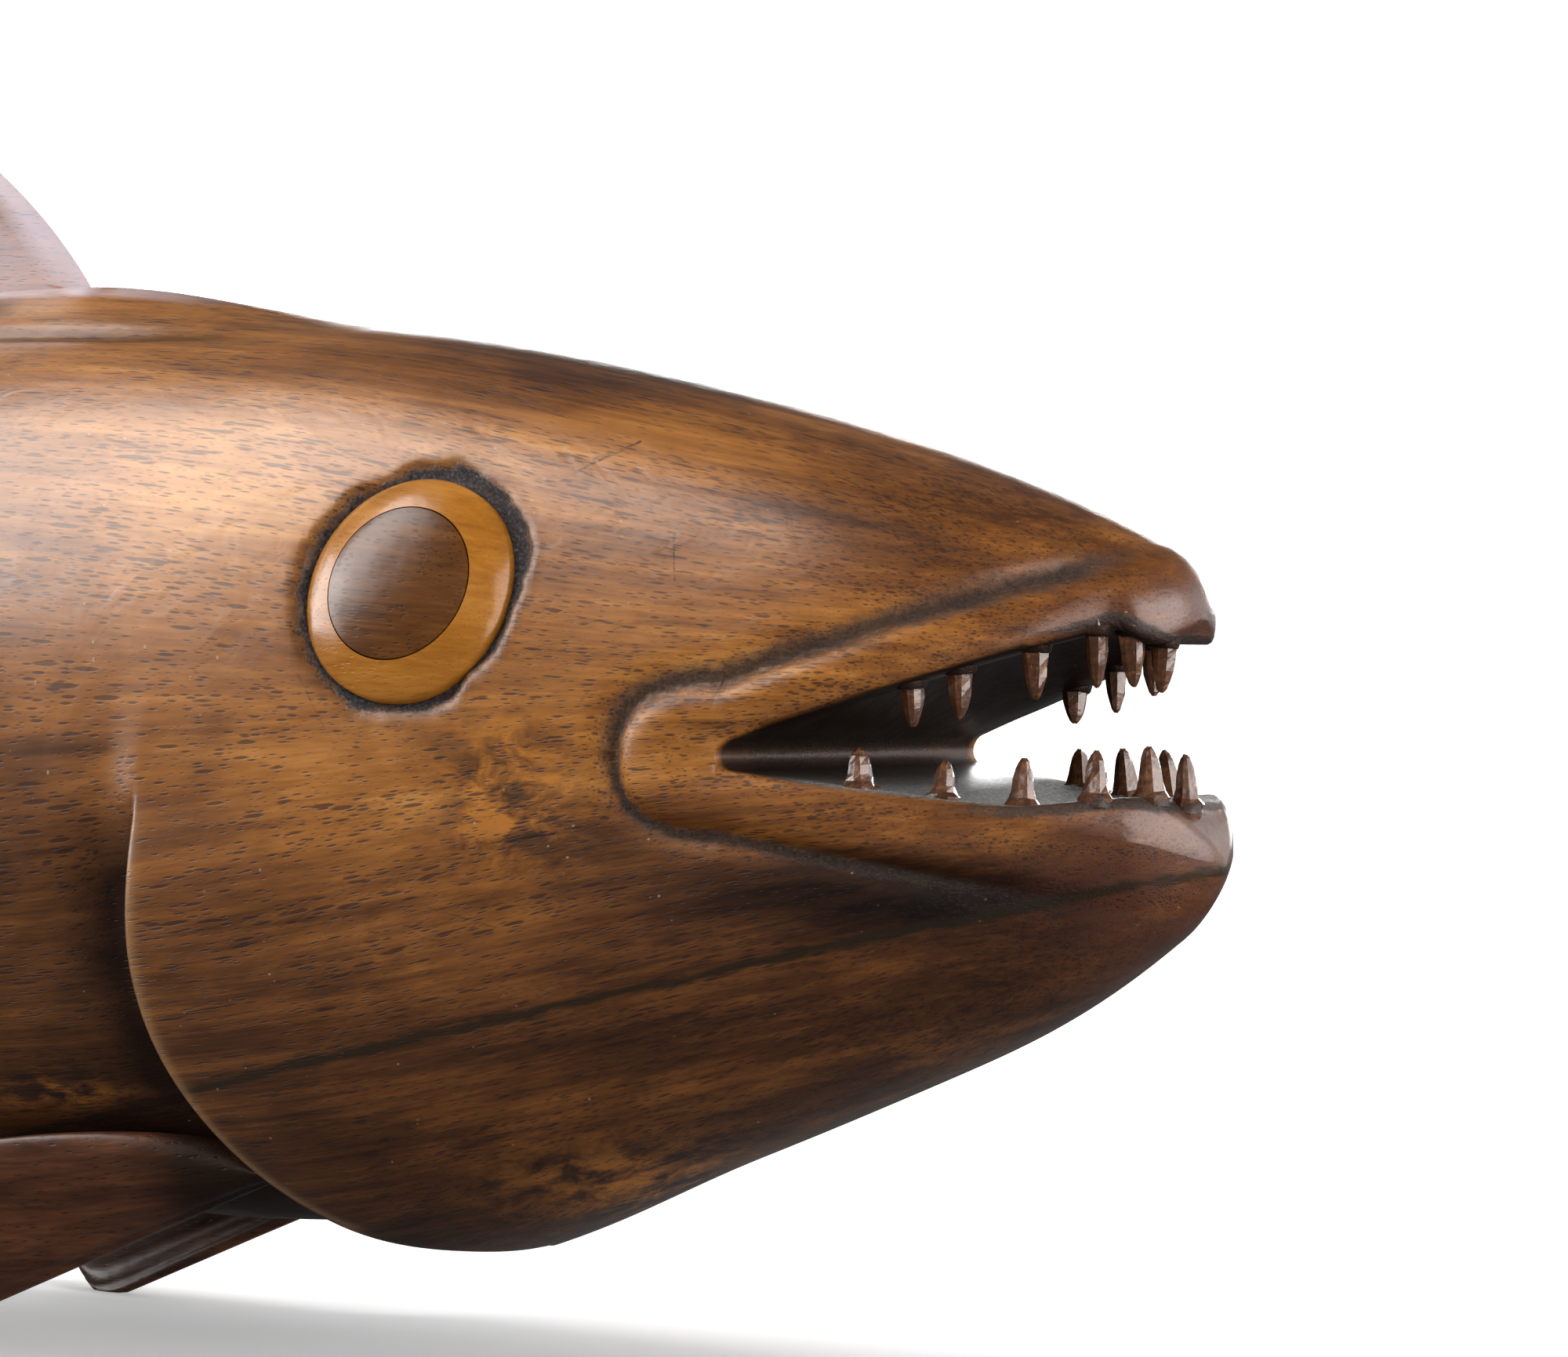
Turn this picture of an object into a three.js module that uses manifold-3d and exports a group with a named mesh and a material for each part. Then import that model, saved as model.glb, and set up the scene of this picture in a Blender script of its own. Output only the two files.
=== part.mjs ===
// A fish carved from one block of hardwood, standing on its two applied pectoral fins and its tail.
// Millimetres, +Z up, +X toward the snout, +Y toward the fish's left side.
// The origin is on the ground, under the middle of the fish.
import * as THREE from 'three';
import { mergeVertices } from 'three/addons/utils/BufferGeometryUtils.js';
import Module from 'manifold-3d';

const wasm = await Module();
wasm.setup();

// Driving dimensions
const length = 431;
const lowerJawReach = 1; // of the lower jaw past the snout
const snoutX = length / 2 - lowerJawReach;
const clearance = 0.3; // left between pieces that touch
const bodySquareness = 2.15; // exponent of the rounded cross section, 2 is an ellipse

// The block seen from the side and from above:
// distance behind the snout, back height, belly height, half width, height of the widest place
const profile = [
  [-6, 74.2, 48.2, 4, 63.7],
  [0, 76.2, 45.2, 8, 63.2],
  [5, 78.3, 41.3, 10.8, 62.7],
  [12, 81.5, 36.3, 14.9, 61.7],
  [20, 84.6, 31.7, 19, 60.7],
  [30, 87.8, 27.3, 22.4, 59.2],
  [40, 90.6, 23.2, 23.9, 58.2],
  [55, 94.3, 17.4, 25.8, 56.7],
  [72, 97.9, 11, 28, 55.7],
  [88, 100.4, 7, 29.6, 54.7],
  [105, 101.7, 9.6, 30.6, 54.7],
  [130, 103.2, 12.2, 30.8, 54.7],
  [170, 102.2, 13.2, 29.5, 54.7],
  [220, 95.7, 18.2, 25.5, 54.7],
  [270, 86.2, 26.2, 19.5, 54.2],
  [320, 74.2, 36.7, 12, 53.7],
  [360, 64.2, 44.7, 7, 53.7],
  [385, 61.7, 47.2, 4.5, 53.7],
];

const mouth = {
  corner: 39.7, // behind the snout
  height: 58.5, // of the corner
  rise: 0.09, // of the middle line of the opening, for each mm forward
  spread: 0.22, // of each lip away from that line, for each mm forward
  radius: 1.2, // of the cut at the corner
  knob: 4.3, // how far the upper lip turns down at the snout
  frontRise: 2.2, // how far the lower lip turns up at its tip
  lipRound: 1.3, // height of the rounding of a lip's edge
  lipInset: 1.6, // width of that rounding
  palateVault: 4,
  floorDish: 0.8,
};
const jaws = {
  // reach is how far a tip is drawn past the snout
  upper: { tipHeight: 71.5, tipRound: 5, reach: -1.2 },
  lower: { tipHeight: 48.9, tipRound: 5.5, reach: lowerJawReach },
};
const lipBand = { above: 6.9, behind: 9.6, below: 7.4, height: 1.1, groove: 0.7, grooveWidth: 1.6 };

// Edge of the gill cover: degrees round the section from the back, distance behind the snout
const gillEdge = [
  [0, 101],
  [70, 101],
  [88, 102],
  [100, 103.6],
  [112, 104.3],
  [125, 102.5],
  [138, 97.5],
  [150, 90],
  [165, 80],
  [180, 75],
];
const gill = {
  station: 103,
  raised: 0.8,
  sunk: 1.5,
  fadeFrom: 80, // degrees round the section
  fadeTo: 96,
  fadeAhead: 26, // distances from the edge
  fadeBehind: 40,
};
const ridge = { from: 88, full: 132, end: 214, gone: 240, height: 3.4, halfWidth: 5.5 };

const eye = {
  behindSnout: 73.5,
  height: 74.4,
  long: 11.2, // half of the long axis
  short: 10.8,
  tilt: 52, // degrees, the long axis up toward the snout
  pupil: 0.68, // of the ring's size
  depth: 3.4, // of the socket
  dome: 2.6, // bulge above the flank
};

// Fins: each has a leading and a trailing edge that run from the buried root to the tip, as the
// start, bend and end of a curve in the fin's own plane, and its thickness at the root and the tip.
// Blunt is the exponent of the tip's rounding, 2 makes it half an ellipse.
// The plane of the middle fins holds distance behind the snout and height.
const tailMiddle = 54;
const tailLobe = {
  lead: [[364, 51], [392, 33], [421.2, -4]],
  trail: [[410, 61], [412, 29], [433.4, -1.5]],
  thick: [7, 4],
  blunt: 2.4,
};
const mirrored = ([behind, height]) => [behind, 2 * tailMiddle - height];
const middleFins = {
  firstDorsal: {
    lead: [[127, 97], [138, 124], [184, 138]],
    trail: [[216, 93], [188, 110], [189, 131]],
    thick: [8, 3],
  },
  secondDorsal: {
    lead: [[256, 77], [266, 99], [294, 104]],
    trail: [[294, 71], [284, 89], [298, 100]],
    thick: [5.5, 2.6],
  },
  anal: {
    lead: [[262, 33], [272, 13], [298, 8]],
    trail: [[299, 39], [288, 21], [302, 12]],
    thick: [5.5, 2.6],
  },
  lowerLobe: tailLobe,
  upperLobe: { ...tailLobe, lead: tailLobe.lead.map(mirrored), trail: tailLobe.trail.map(mirrored) },
};
const tipRounding = 0.85; // share of a fin's length at which its tip starts to draw in

// The plane of a pectoral fin runs through the root and foot of its lower edge and a place on the
// flank, each as behind the snout, out from the middle, height. Its edges are along that lower
// edge and up from it.
const pectoral = {
  root: [100, 12.6, 14.8],
  foot: [138.7, 13.5, 0.6],
  flank: [123, 21.8, 20.5],
  lead: [[-8, 0.8], [18, -0.2], [45.5, -1]],
  trail: [[0, 13], [24, 22], [57, 20]],
  thick: [6, 4],
  blunt: 5,
};

// Pegs let into drilled holes along the lips
const peg = {
  root: 1.15,
  depth: 3,
  sides: 7,
  // shares of the root's radius and of the height: blunt above, pointed below
  upper: [[0.95, 0.3], [1.12, 0.62], [0.75, 0.88], [0.3, 0.98]],
  lower: [[1, 0.25], [0.8, 0.6], [0.42, 0.85]],
};
const toothInset = 1.0; // from the inner edge of the lip's rounding
// number counts back from the snout, out is the distance from the middle where the rim doesn't set it
const tooth = (jaw, side, number, behind, tall, out, lean = 4) => ({
  name: `${jaw}_${side < 0 ? 'right' : 'left'}_tooth_${number}`,
  jaw,
  side,
  behind,
  tall,
  out,
  lean,
});
const teeth = [
  tooth('upper', -1, 1, 2.9, 4.3, 2.4, 0),
  tooth('upper', -1, 2, 4.6, 5, 5.6, 2),
  tooth('upper', -1, 3, 7, 5),
  tooth('upper', -1, 4, 11.9, 4.5),
  tooth('upper', -1, 5, 18.1, 4.4),
  tooth('upper', -1, 6, 22.3, 3.8),
  tooth('upper', 1, 1, 11.3, 4.5),
  tooth('upper', 1, 2, 17.7, 4.1),
  tooth('upper', 1, 3, 24.2, 3.2),
  tooth('lower', -1, 1, 3, 4.6, 1.8, 0),
  tooth('lower', -1, 2, 4.6, 4.7, 5.6, 2),
  tooth('lower', -1, 3, 8.3, 4.5),
  tooth('lower', -1, 4, 14.1, 4.3),
  tooth('lower', -1, 5, 20.4, 3.4),
  tooth('lower', -1, 6, 27.5, 3.6),
  tooth('lower', 1, 1, 11.7, 4.7),
  tooth('lower', 1, 2, 18, 4.5),
  tooth('lower', 1, 3, 24.5, 3.5),
];

const clamp01 = (v) => Math.min(1, Math.max(0, v));
const radians = THREE.MathUtils.degToRad;

function softStep(from, to, value) {
  const t = clamp01((value - from) / (to - from));
  return t * t * (3 - 2 * t);
}

// Smooth curve through the rows of a table: column 0 is the place, the other column the value
function through(rows, column, place) {
  let i = 0;
  while (i < rows.length - 2 && rows[i + 1][0] <= place) i += 1;
  const slope = (k) => (rows[k + 1][column] - rows[k][column]) / (rows[k + 1][0] - rows[k][0]);
  const tangent = (k) => {
    if (k === 0) return slope(0);
    if (k === rows.length - 1) return slope(k - 1);
    const before = rows[k][0] - rows[k - 1][0];
    const after = rows[k + 1][0] - rows[k][0];
    return (before * slope(k) + after * slope(k - 1)) / (before + after);
  };
  const step = rows[i + 1][0] - rows[i][0];
  const t = (place - rows[i][0]) / step;
  return (
    rows[i][column] * (1 + 2 * t) * (1 - t) ** 2 +
    step * tangent(i) * t * (1 - t) ** 2 +
    rows[i + 1][column] * t * t * (3 - 2 * t) +
    step * tangent(i + 1) * t * t * (t - 1)
  );
}

// A point of the smooth body on the fish's left: distance behind the snout, angle round from the back
function section(behind, angle) {
  const [top, bottom, half, widest] = [1, 2, 3, 4].map((column) => through(profile, column, behind));
  const sine = Math.sin(angle);
  const cosine = Math.cos(angle);
  const n = bodySquareness;
  const reach = (Math.abs(sine) ** n + Math.abs(cosine) ** n) ** (-1 / n);
  const rise = cosine > 0 ? top - widest : widest - bottom;
  return { y: half * sine * reach, z: widest + rise * cosine * reach };
}

// The angle round a section at which it passes a height
function angleAt(behind, height) {
  let low = 0;
  let high = Math.PI;
  for (let k = 0; k < 40; k += 1) {
    const middle = (low + high) / 2;
    if (section(behind, middle).z > height) low = middle;
    else high = middle;
  }
  return (low + high) / 2;
}

// Heights of the two lips, and of the line midway between them
function lips(behind) {
  const inside = Math.max(mouth.corner - behind, 0);
  const middle = mouth.height + mouth.rise * inside;
  const round = clamp01(inside / mouth.radius);
  const gap = mouth.spread * inside + mouth.radius * Math.sqrt(1 - (1 - round) ** 2);
  const upper = middle + gap - mouth.knob * softStep(5, 2, behind);
  const lower = middle - gap + mouth.frontRise * softStep(16, 3, behind);
  return { upper, lower, middle, inside };
}

// How far the carving stands above the smooth body
function relief(behind, angle) {
  const { z } = section(behind, angle);
  const degrees = THREE.MathUtils.radToDeg(angle);
  return lipRelief(behind, z) + gillRelief(behind, angle, degrees) + ridgeRelief(behind, angle);
}

// A raised band round the mouth, with a groove outside it
function lipRelief(behind, z) {
  const lip = lips(behind);
  const past = Math.max(behind - mouth.corner, 0);
  const above = z > lip.middle;
  const rise = above ? z - lip.upper : lip.lower - z;
  const away = past > 0 ? Math.hypot(past, z - lip.middle) : Math.max(rise, 0) * 0.95;
  const turn = past > 0 ? past / Math.max(away, 0.01) : 0;
  const side = above ? lipBand.above : lipBand.below;
  const width = side + (lipBand.behind - side) * turn ** 2;
  const fade = above ? softStep(3, 10, behind) : softStep(14, 24, behind);
  const band = lipBand.height * softStep(0, 0.75 * width, away) * softStep(width + 0.6, width - 0.6, away);
  const groove = lipBand.groove * Math.exp(-(((away - width - 0.8) / lipBand.grooveWidth) ** 2) * 2);
  return fade * (band - groove);
}

// The gill cover ends in a step down to the flank
function gillRelief(behind, angle, degrees) {
  const ahead = through(gillEdge, 1, degrees) - behind;
  const shown = softStep(gill.fadeFrom, gill.fadeTo, degrees);
  if (ahead > -0.01) return shown * gill.raised * softStep(gill.fadeAhead, 0, ahead);
  return -shown * gill.sunk * softStep(gill.fadeBehind, 4, -ahead);
}

// The keel along the back that the dorsal fin grows out of
function ridgeRelief(behind, angle) {
  const { y } = section(behind, angle);
  if (angle > Math.PI / 2) return 0;
  const along = softStep(ridge.from, ridge.full, behind) * softStep(ridge.gone, ridge.end, behind);
  return ridge.height * along * Math.exp(-((y / ridge.halfWidth) ** 2));
}

// A point of the carved body on the fish's left, moved outward by more
function skin(behind, angle, more = 0) {
  const before = section(behind, Math.max(angle - 0.01, 0));
  const after = section(behind, Math.min(angle + 0.01, Math.PI));
  const run = Math.hypot(after.y - before.y, after.z - before.z);
  const out = relief(behind, angle) + more;
  const here = section(behind, angle);
  const y = Math.max(here.y + (out * (before.z - after.z)) / run, 0);
  const edge = angle === 0 || angle === Math.PI;
  return { behind, y: edge ? 0 : y, z: here.z + (out * (after.y - before.y)) / run };
}

// Collects the vertices and triangles of one closed surface
class Surface {
  constructor() {
    this.places = [];
    this.corners = [];
  }
  add(x, y, z) {
    return this.places.push(new THREE.Vector3(x, y, z)) - 1;
  }
  // Two closed loops of vertices, the second nearer the snout
  bridge(rear, front) {
    rear.forEach((a, k) => {
      const next = (k + 1) % rear.length;
      this.corners.push(a, rear[next], front[next], a, front[next], front[k]);
    });
  }
  closeFront(loop, tip) {
    loop.forEach((a, k) => this.corners.push(a, loop[(k + 1) % loop.length], tip));
  }
  closeRear(loop, tip) {
    loop.forEach((a, k) => this.corners.push(loop[(k + 1) % loop.length], a, tip));
  }
  // Six times the volume that the triangles enclose, negative where they face inward
  enclosed() {
    let sum = 0;
    for (let k = 0; k < this.corners.length; k += 3) {
      const [a, b, c] = this.corners.slice(k, k + 3).map((corner) => this.places[corner]);
      sum += a.dot(b.clone().cross(c));
    }
    return sum;
  }
  geometry() {
    if (this.enclosed() < 0) this.corners.reverse();
    const geometry = new THREE.BufferGeometry().setFromPoints(this.places);
    geometry.setIndex(this.corners);
    return geometry;
  }
}

const rows = { back: 8, lip: 2, belly: 8, roof: 6 }; // steps round one side, and across the mouth
const even = (steps) => Array.from({ length: steps + 1 }, (_, k) => k / steps);

// Angles down one side behind the mouth, with rows that meet the lips at the corner
function trunkAngles(behind) {
  const toCorner = softStep(140, mouth.corner, behind);
  const widest = through(profile, 4, behind);
  const middle = widest + (mouth.height - widest) * toCorner;
  const half = Math.min(mouth.lipRound + 0.06 * (behind - mouth.corner), 7);
  const [above, centre, below] = [half, 0, -half].map((shift) => angleAt(behind, middle + shift));
  return [
    ...even(rows.back).map((t) => above * t),
    ...even(rows.lip).slice(1).map((t) => above + (centre - above) * t),
    ...even(rows.lip).slice(1).map((t) => centre + (below - centre) * t),
    ...even(rows.belly).slice(1).map((t) => below + (Math.PI - below) * t),
  ];
}

// Stations lean so that one of them runs along the edge of the gill cover
function leaning(station, angle) {
  const lean = softStep(46, gill.station, station) * softStep(170, gill.station, station);
  return station + lean * (through(gillEdge, 1, THREE.MathUtils.radToDeg(angle)) - gill.station);
}

// Points of one side of a jaw, from the middle of the back or belly to the lip and over its edge
function jawSide(behind, jaw) {
  const isUpper = jaw === 'upper';
  const lip = lips(behind);
  const sign = isUpper ? 1 : -1;
  const edge = lip[jaw];
  const start = isUpper ? 0 : Math.PI;
  const end = angleAt(behind, edge + sign * mouth.lipRound);
  const steps = isUpper ? rows.back : rows.belly;
  const wall = even(steps).map((t) => skin(behind, start + (end - start) * t));
  const last = wall[wall.length - 1];
  const corner = section(behind, angleAt(behind, edge));
  const inner = corner.y - mouth.lipInset * softStep(0, 7, lip.inside);
  const round = even(rows.lip).slice(1).map((t) => ({
    behind,
    y: (1 - t) ** 2 * last.y + 2 * t * (1 - t) * corner.y + t * t * inner,
    z: (1 - t) ** 2 * last.z + 2 * t * (1 - t) * edge + t * t * edge,
  }));
  return [...wall, ...round];
}

// Points across the mouth from the right lip to the left one
function jawRoof(behind, jaw) {
  const side = jawSide(behind, jaw);
  const rim = side[side.length - 1];
  const { inside } = lips(behind);
  const depth = jaw === 'upper' ? mouth.palateVault : -mouth.floorDish;
  const hollow = depth * softStep(0, 14, inside) * softStep(0, 6, behind);
  return even(rows.roof).slice(1, -1).map((t) => {
    const across = 2 * t - 1;
    const bowl = 1 - Math.min(Math.abs(across) / 0.86, 1) ** 2.2;
    return { behind, y: across * rim.y, z: rim.z + hollow * bowl };
  });
}

// One jaw's loop of points at a station, drawn in to its tip over the last few millimetres
function jawLoop(behind, jaw) {
  const { tipHeight, tipRound, reach } = jaws[jaw];
  const left = jawSide(behind, jaw);
  const right = left.map((p) => ({ ...p, y: -p.y }));
  const roof = jawRoof(behind, jaw);
  const upper = [...right, ...roof, ...left.slice(1).reverse()];
  const lower = [...right.slice().reverse(), ...left.slice(1), ...roof.slice().reverse()];
  const shrink = Math.sqrt(1 - (1 - clamp01(behind / tipRound)) ** 2);
  const forward = reach * softStep(mouth.corner, 0, behind);
  return (jaw === 'upper' ? upper : lower).map((p) => ({
    x: snoutX - p.behind + forward,
    y: p.y * shrink,
    z: tipHeight + (p.z - tipHeight) * shrink,
  }));
}

// The whole body with its open mouth, grown by more on every outer side
function bodySurface(more = 0) {
  const surface = new Surface();
  const place = (p) => surface.add(p.x, p.y, p.z);
  const trunkLoop = (station) => {
    const left = trunkAngles(station).map((angle) => {
      const p = skin(leaning(station, angle), angle, more);
      return { x: snoutX - p.behind, y: p.y, z: p.z };
    });
    const right = left.map((p) => ({ ...p, y: -p.y }));
    return [...right, ...left.slice(1, -1).reverse()].map(place);
  };
  const stations = [
    ...even(9).map((t) => 385 - 215 * t),
    ...even(6).slice(1).map((t) => 170 - 60 * t),
    gill.station + 3,
    gill.station + 0.6,
    gill.station,
    gill.station - 1.5,
    ...even(15).slice(1).map((t) => 98 + (mouth.corner - 98) * t),
  ];
  const loops = stations.map(trunkLoop);
  loops.slice(1).forEach((loop, k) => surface.bridge(loops[k], loop));
  surface.closeRear(loops[0], surface.add(snoutX - 387, 0, tailMiddle));

  // The corner loop is shared out between the jaws, with one straight valley across the throat
  const corner = loops[loops.length - 1];
  const toCorner = rows.back + rows.lip;
  const rightCorner = corner[toCorner];
  const leftCorner = corner[corner.length - toCorner];
  const half = surface.places[leftCorner].y;
  const valley = even(rows.roof).slice(1, -1).map((t) =>
    surface.add(snoutX - mouth.corner, half * (2 * t - 1), surface.places[rightCorner].z));
  const first = {
    upper: [...corner.slice(0, toCorner + 1), ...valley, ...corner.slice(corner.length - toCorner)],
    lower: [...corner.slice(toCorner, corner.length - toCorner + 1), ...valley.slice().reverse()],
  };
  const opened = [0.35, 1.2, 3, 5.5, 8.5, 12, 16, 20, 24, 28, 31.5].map((inside) => mouth.corner - inside);
  for (const jaw of ['upper', 'lower']) {
    const { tipHeight, tipRound, reach } = jaws[jaw];
    const tips = [0.99, 0.72, 0.4, 0.14].map((t) => tipRound * t);
    let last = first[jaw];
    for (const behind of [...opened, 6.6, ...tips]) {
      const loop = jawLoop(behind, jaw).map(place);
      surface.bridge(last, loop);
      last = loop;
    }
    surface.closeFront(last, surface.add(snoutX + reach, 0, tipHeight));
  }
  return surface.geometry();
}

// Solids for joining and cutting
function solidOf(geometry) {
  const bare = geometry.clone();
  bare.deleteAttribute('normal');
  bare.deleteAttribute('uv');
  const merged = mergeVertices(bare, 1e-4);
  const vertProperties = new Float32Array(merged.attributes.position.array);
  const triVerts = new Uint32Array(merged.index.array);
  return new wasm.Manifold(new wasm.Mesh({ numProp: 3, vertProperties, triVerts }));
}

function geometryOf(solid) {
  const mesh = solid.getMesh();
  const geometry = new THREE.BufferGeometry();
  geometry.setAttribute('position', new THREE.BufferAttribute(new Float32Array(mesh.vertProperties), 3));
  geometry.setIndex(new THREE.BufferAttribute(new Uint32Array(mesh.triVerts), 1));
  const shaded = geometry.toNonIndexed();
  shaded.computeVertexNormals();
  return shaded;
}

const alongCurve = ([start, bend, end], t) =>
  [0, 1].map((k) => (1 - t) ** 2 * start[k] + 2 * t * (1 - t) * bend[k] + t ** 2 * end[k]);

// A fin as lens-shaped chords from its leading to its trailing edge, set out from root to tip.
// The function toPlace turns a place in the fin's plane and a distance off it into a vertex.
function finGeometry({ lead, trail, thick, blunt = 2 }, toPlace) {
  const surface = new Surface();
  const shares = [0, 0.1, 0.3, 0.6, 0.86, 1];
  const add = (place, off) => surface.add(...toPlace(place[0], place[1], off).toArray());
  const drawnIn = (t) => (1 - clamp01((t - tipRounding) / (1 - tipRounding)) ** blunt) ** (1 / blunt);
  const chord = (t, share) => {
    const [front, back] = [alongCurve(lead, t), alongCurve(trail, t)];
    const drawn = 0.5 + (share - 0.5) * drawnIn(t);
    return front.map((value, k) => value + (back[k] - value) * drawn);
  };
  const loops = [0, 0.22, 0.44, 0.66, tipRounding, 0.93, 0.98].map((t) => {
    const half = ((thick[0] + (thick[1] - thick[0]) * Math.sqrt(t)) / 2) * drawnIn(t) ** 0.5;
    const offs = shares.map((share) => half * (1 - Math.abs(2 * share - 1) ** 2.6) ** 0.6);
    const near = shares.map((share, k) => add(chord(t, share), offs[k]));
    const far = shares.slice(1, -1).map((share, k) => add(chord(t, share), -offs[k + 1]));
    return [...near, ...far.reverse()];
  });
  loops.slice(1).forEach((loop, k) => surface.bridge(loops[k], loop));
  surface.closeRear(loops[0], add(chord(0, 0.5), 0));
  surface.closeFront(loops[loops.length - 1], add(chord(1, 0.5), 0));
  return surface.geometry();
}

const inMiddle = (behind, height, off) => new THREE.Vector3(snoutX - behind, off, height);

const ground = () => new THREE.BoxGeometry(2 * length, length, 40).translate(0, 0, -20);

function carvedBody() {
  let solid = solidOf(bodySurface());
  for (const fin of Object.values(middleFins)) solid = solid.add(solidOf(finGeometry(fin, inMiddle)));
  for (const side of [-1, 1]) solid = solid.subtract(solidOf(eyeSocket(side)));
  for (const one of teeth) solid = solid.subtract(solidOf(toothSocket(one)));
  return solid.subtract(solidOf(ground()));
}

// Where the eye sits on the flank: x and y of the frame lie along its axes, z points outward
function eyeFrame(side) {
  const at = (behind, height) => {
    const { y, z } = section(behind, angleAt(behind, height));
    return new THREE.Vector3(snoutX - behind, side * y, z);
  };
  const centre = at(eye.behindSnout, eye.height);
  const forward = at(eye.behindSnout - 3, eye.height).sub(at(eye.behindSnout + 3, eye.height)).normalize();
  const upward = at(eye.behindSnout, eye.height + 3).sub(at(eye.behindSnout, eye.height - 3)).normalize();
  const outward = forward.clone().cross(upward).multiplyScalar(-side).normalize();
  const tilt = radians(eye.tilt);
  const along = forward.multiplyScalar(Math.cos(tilt)).addScaledVector(upward, Math.sin(tilt));
  along.addScaledVector(outward, -along.dot(outward)).normalize();
  const across = outward.clone().cross(along);
  return new THREE.Matrix4().makeBasis(along, across, outward).setPosition(centre);
}

const eyeSteps = 28;
const eyeGap = clearance / eye.short; // the clearance as a share of the eye's size

function eyeSocket(side) {
  const reach = 1 + eyeGap;
  const socket = new THREE.CylinderGeometry(reach, reach, eye.depth + 8, eyeSteps);
  socket.rotateX(Math.PI / 2).translate(0, 0, 4 - eye.depth / 2).scale(eye.long, eye.short, 1);
  return socket.applyMatrix4(eyeFrame(side));
}

const eyeDome = (share) => eye.dome * (1 - share ** 2) ** 0.9 - 0.7;

// A turned profile of [share of the eye's size, height over the flank], stretched to the oval
function eyePiece(outline) {
  const lathe = new THREE.LatheGeometry(outline.map(([r, h]) => new THREE.Vector2(r, h)), eyeSteps);
  return lathe.rotateX(Math.PI / 2).scale(eye.long, eye.short, 1);
}

function eyeRing() {
  const floor = clearance - eye.depth;
  const shares = [eye.pupil, 0.77, 0.86, 0.94, 1];
  const top = shares.slice().reverse().map((share) => [share, eyeDome(share)]);
  return eyePiece([[eye.pupil, floor], [1, floor], ...top, [eye.pupil, floor]]);
}

function eyePupil() {
  const floor = clearance - eye.depth;
  const rim = eye.pupil - eyeGap;
  const shares = [rim, 0.5, 0.3, 0];
  return eyePiece([[0, floor], [rim, floor], ...shares.map((share) => [share, eyeDome(share)])]);
}

// Where a tooth stands: on the lip's rim, its z axis out of the jaw
function toothFrame({ jaw, side, behind, out, lean }) {
  const { tipHeight, tipRound, reach } = jaws[jaw];
  const rim = jawSide(behind, jaw);
  const shrink = Math.sqrt(1 - (1 - clamp01(behind / tipRound)) ** 2);
  const y = out ?? (rim[rim.length - 1].y - toothInset) * shrink;
  const z = tipHeight + (rim[rim.length - 1].z - tipHeight) * shrink;
  const x = snoutX - behind + reach * softStep(mouth.corner, 0, behind);
  const sign = jaw === 'upper' ? -1 : 1;
  const tilt = new THREE.Matrix4().makeRotationX(side * radians(lean) * sign);
  const turn = sign > 0 ? tilt : tilt.multiply(new THREE.Matrix4().makeRotationX(Math.PI));
  return turn.setPosition(x, side * y, z);
}

function toothSocket(one) {
  const reach = peg.root + clearance;
  const socket = new THREE.CylinderGeometry(reach, reach, peg.depth + clearance + 3, peg.sides);
  socket.rotateX(Math.PI / 2).translate(0, 0, (3 - peg.depth - clearance) / 2);
  return socket.applyMatrix4(toothFrame(one));
}

function toothPeg({ jaw, tall }) {
  const outline = [[0, -peg.depth], [peg.root, -peg.depth], [peg.root, 0]];
  const crown = peg[jaw].map(([share, up]) => [share * peg.root, up * tall]);
  const points = [...outline, ...crown, [0, tall]].map(([r, h]) => new THREE.Vector2(r, h));
  return new THREE.LatheGeometry(points, peg.sides).rotateX(Math.PI / 2);
}

// A pectoral fin hangs on the flank, its leading edge running out and down to the ground
function pectoralFin(side, grownBody) {
  const [root, foot, flank] = [pectoral.root, pectoral.foot, pectoral.flank].map(([behind, out, height]) =>
    new THREE.Vector3(snoutX - behind, side * out, height));
  const along = foot.sub(root).normalize();
  const up = flank.sub(root);
  up.addScaledVector(along, -up.dot(along)).normalize();
  const outward = along.clone().cross(up);
  const inPlane = (forward, upward, off) =>
    root.clone().addScaledVector(along, forward).addScaledVector(up, upward).addScaledVector(outward, off);
  return solidOf(finGeometry(pectoral, inPlane)).subtract(grownBody).subtract(solidOf(ground()));
}

const finish = {
  wood: new THREE.MeshStandardMaterial({ color: 0x9a5f2c, roughness: 0.28, metalness: 0 }),
  ring: new THREE.MeshStandardMaterial({ color: 0xd0914a, roughness: 0.15, metalness: 0 }),
  pupil: new THREE.MeshStandardMaterial({ color: 0x5a3416, roughness: 0.12, metalness: 0 }),
  tooth: new THREE.MeshStandardMaterial({ color: 0x8a5a33, roughness: 0.4, metalness: 0 }),
};

const fish = new THREE.Group();

function addPiece(name, geometry, material, placed) {
  const piece = new THREE.Mesh(geometry, material);
  piece.name = name;
  if (placed) piece.applyMatrix4(placed);
  fish.add(piece);
}

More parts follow.
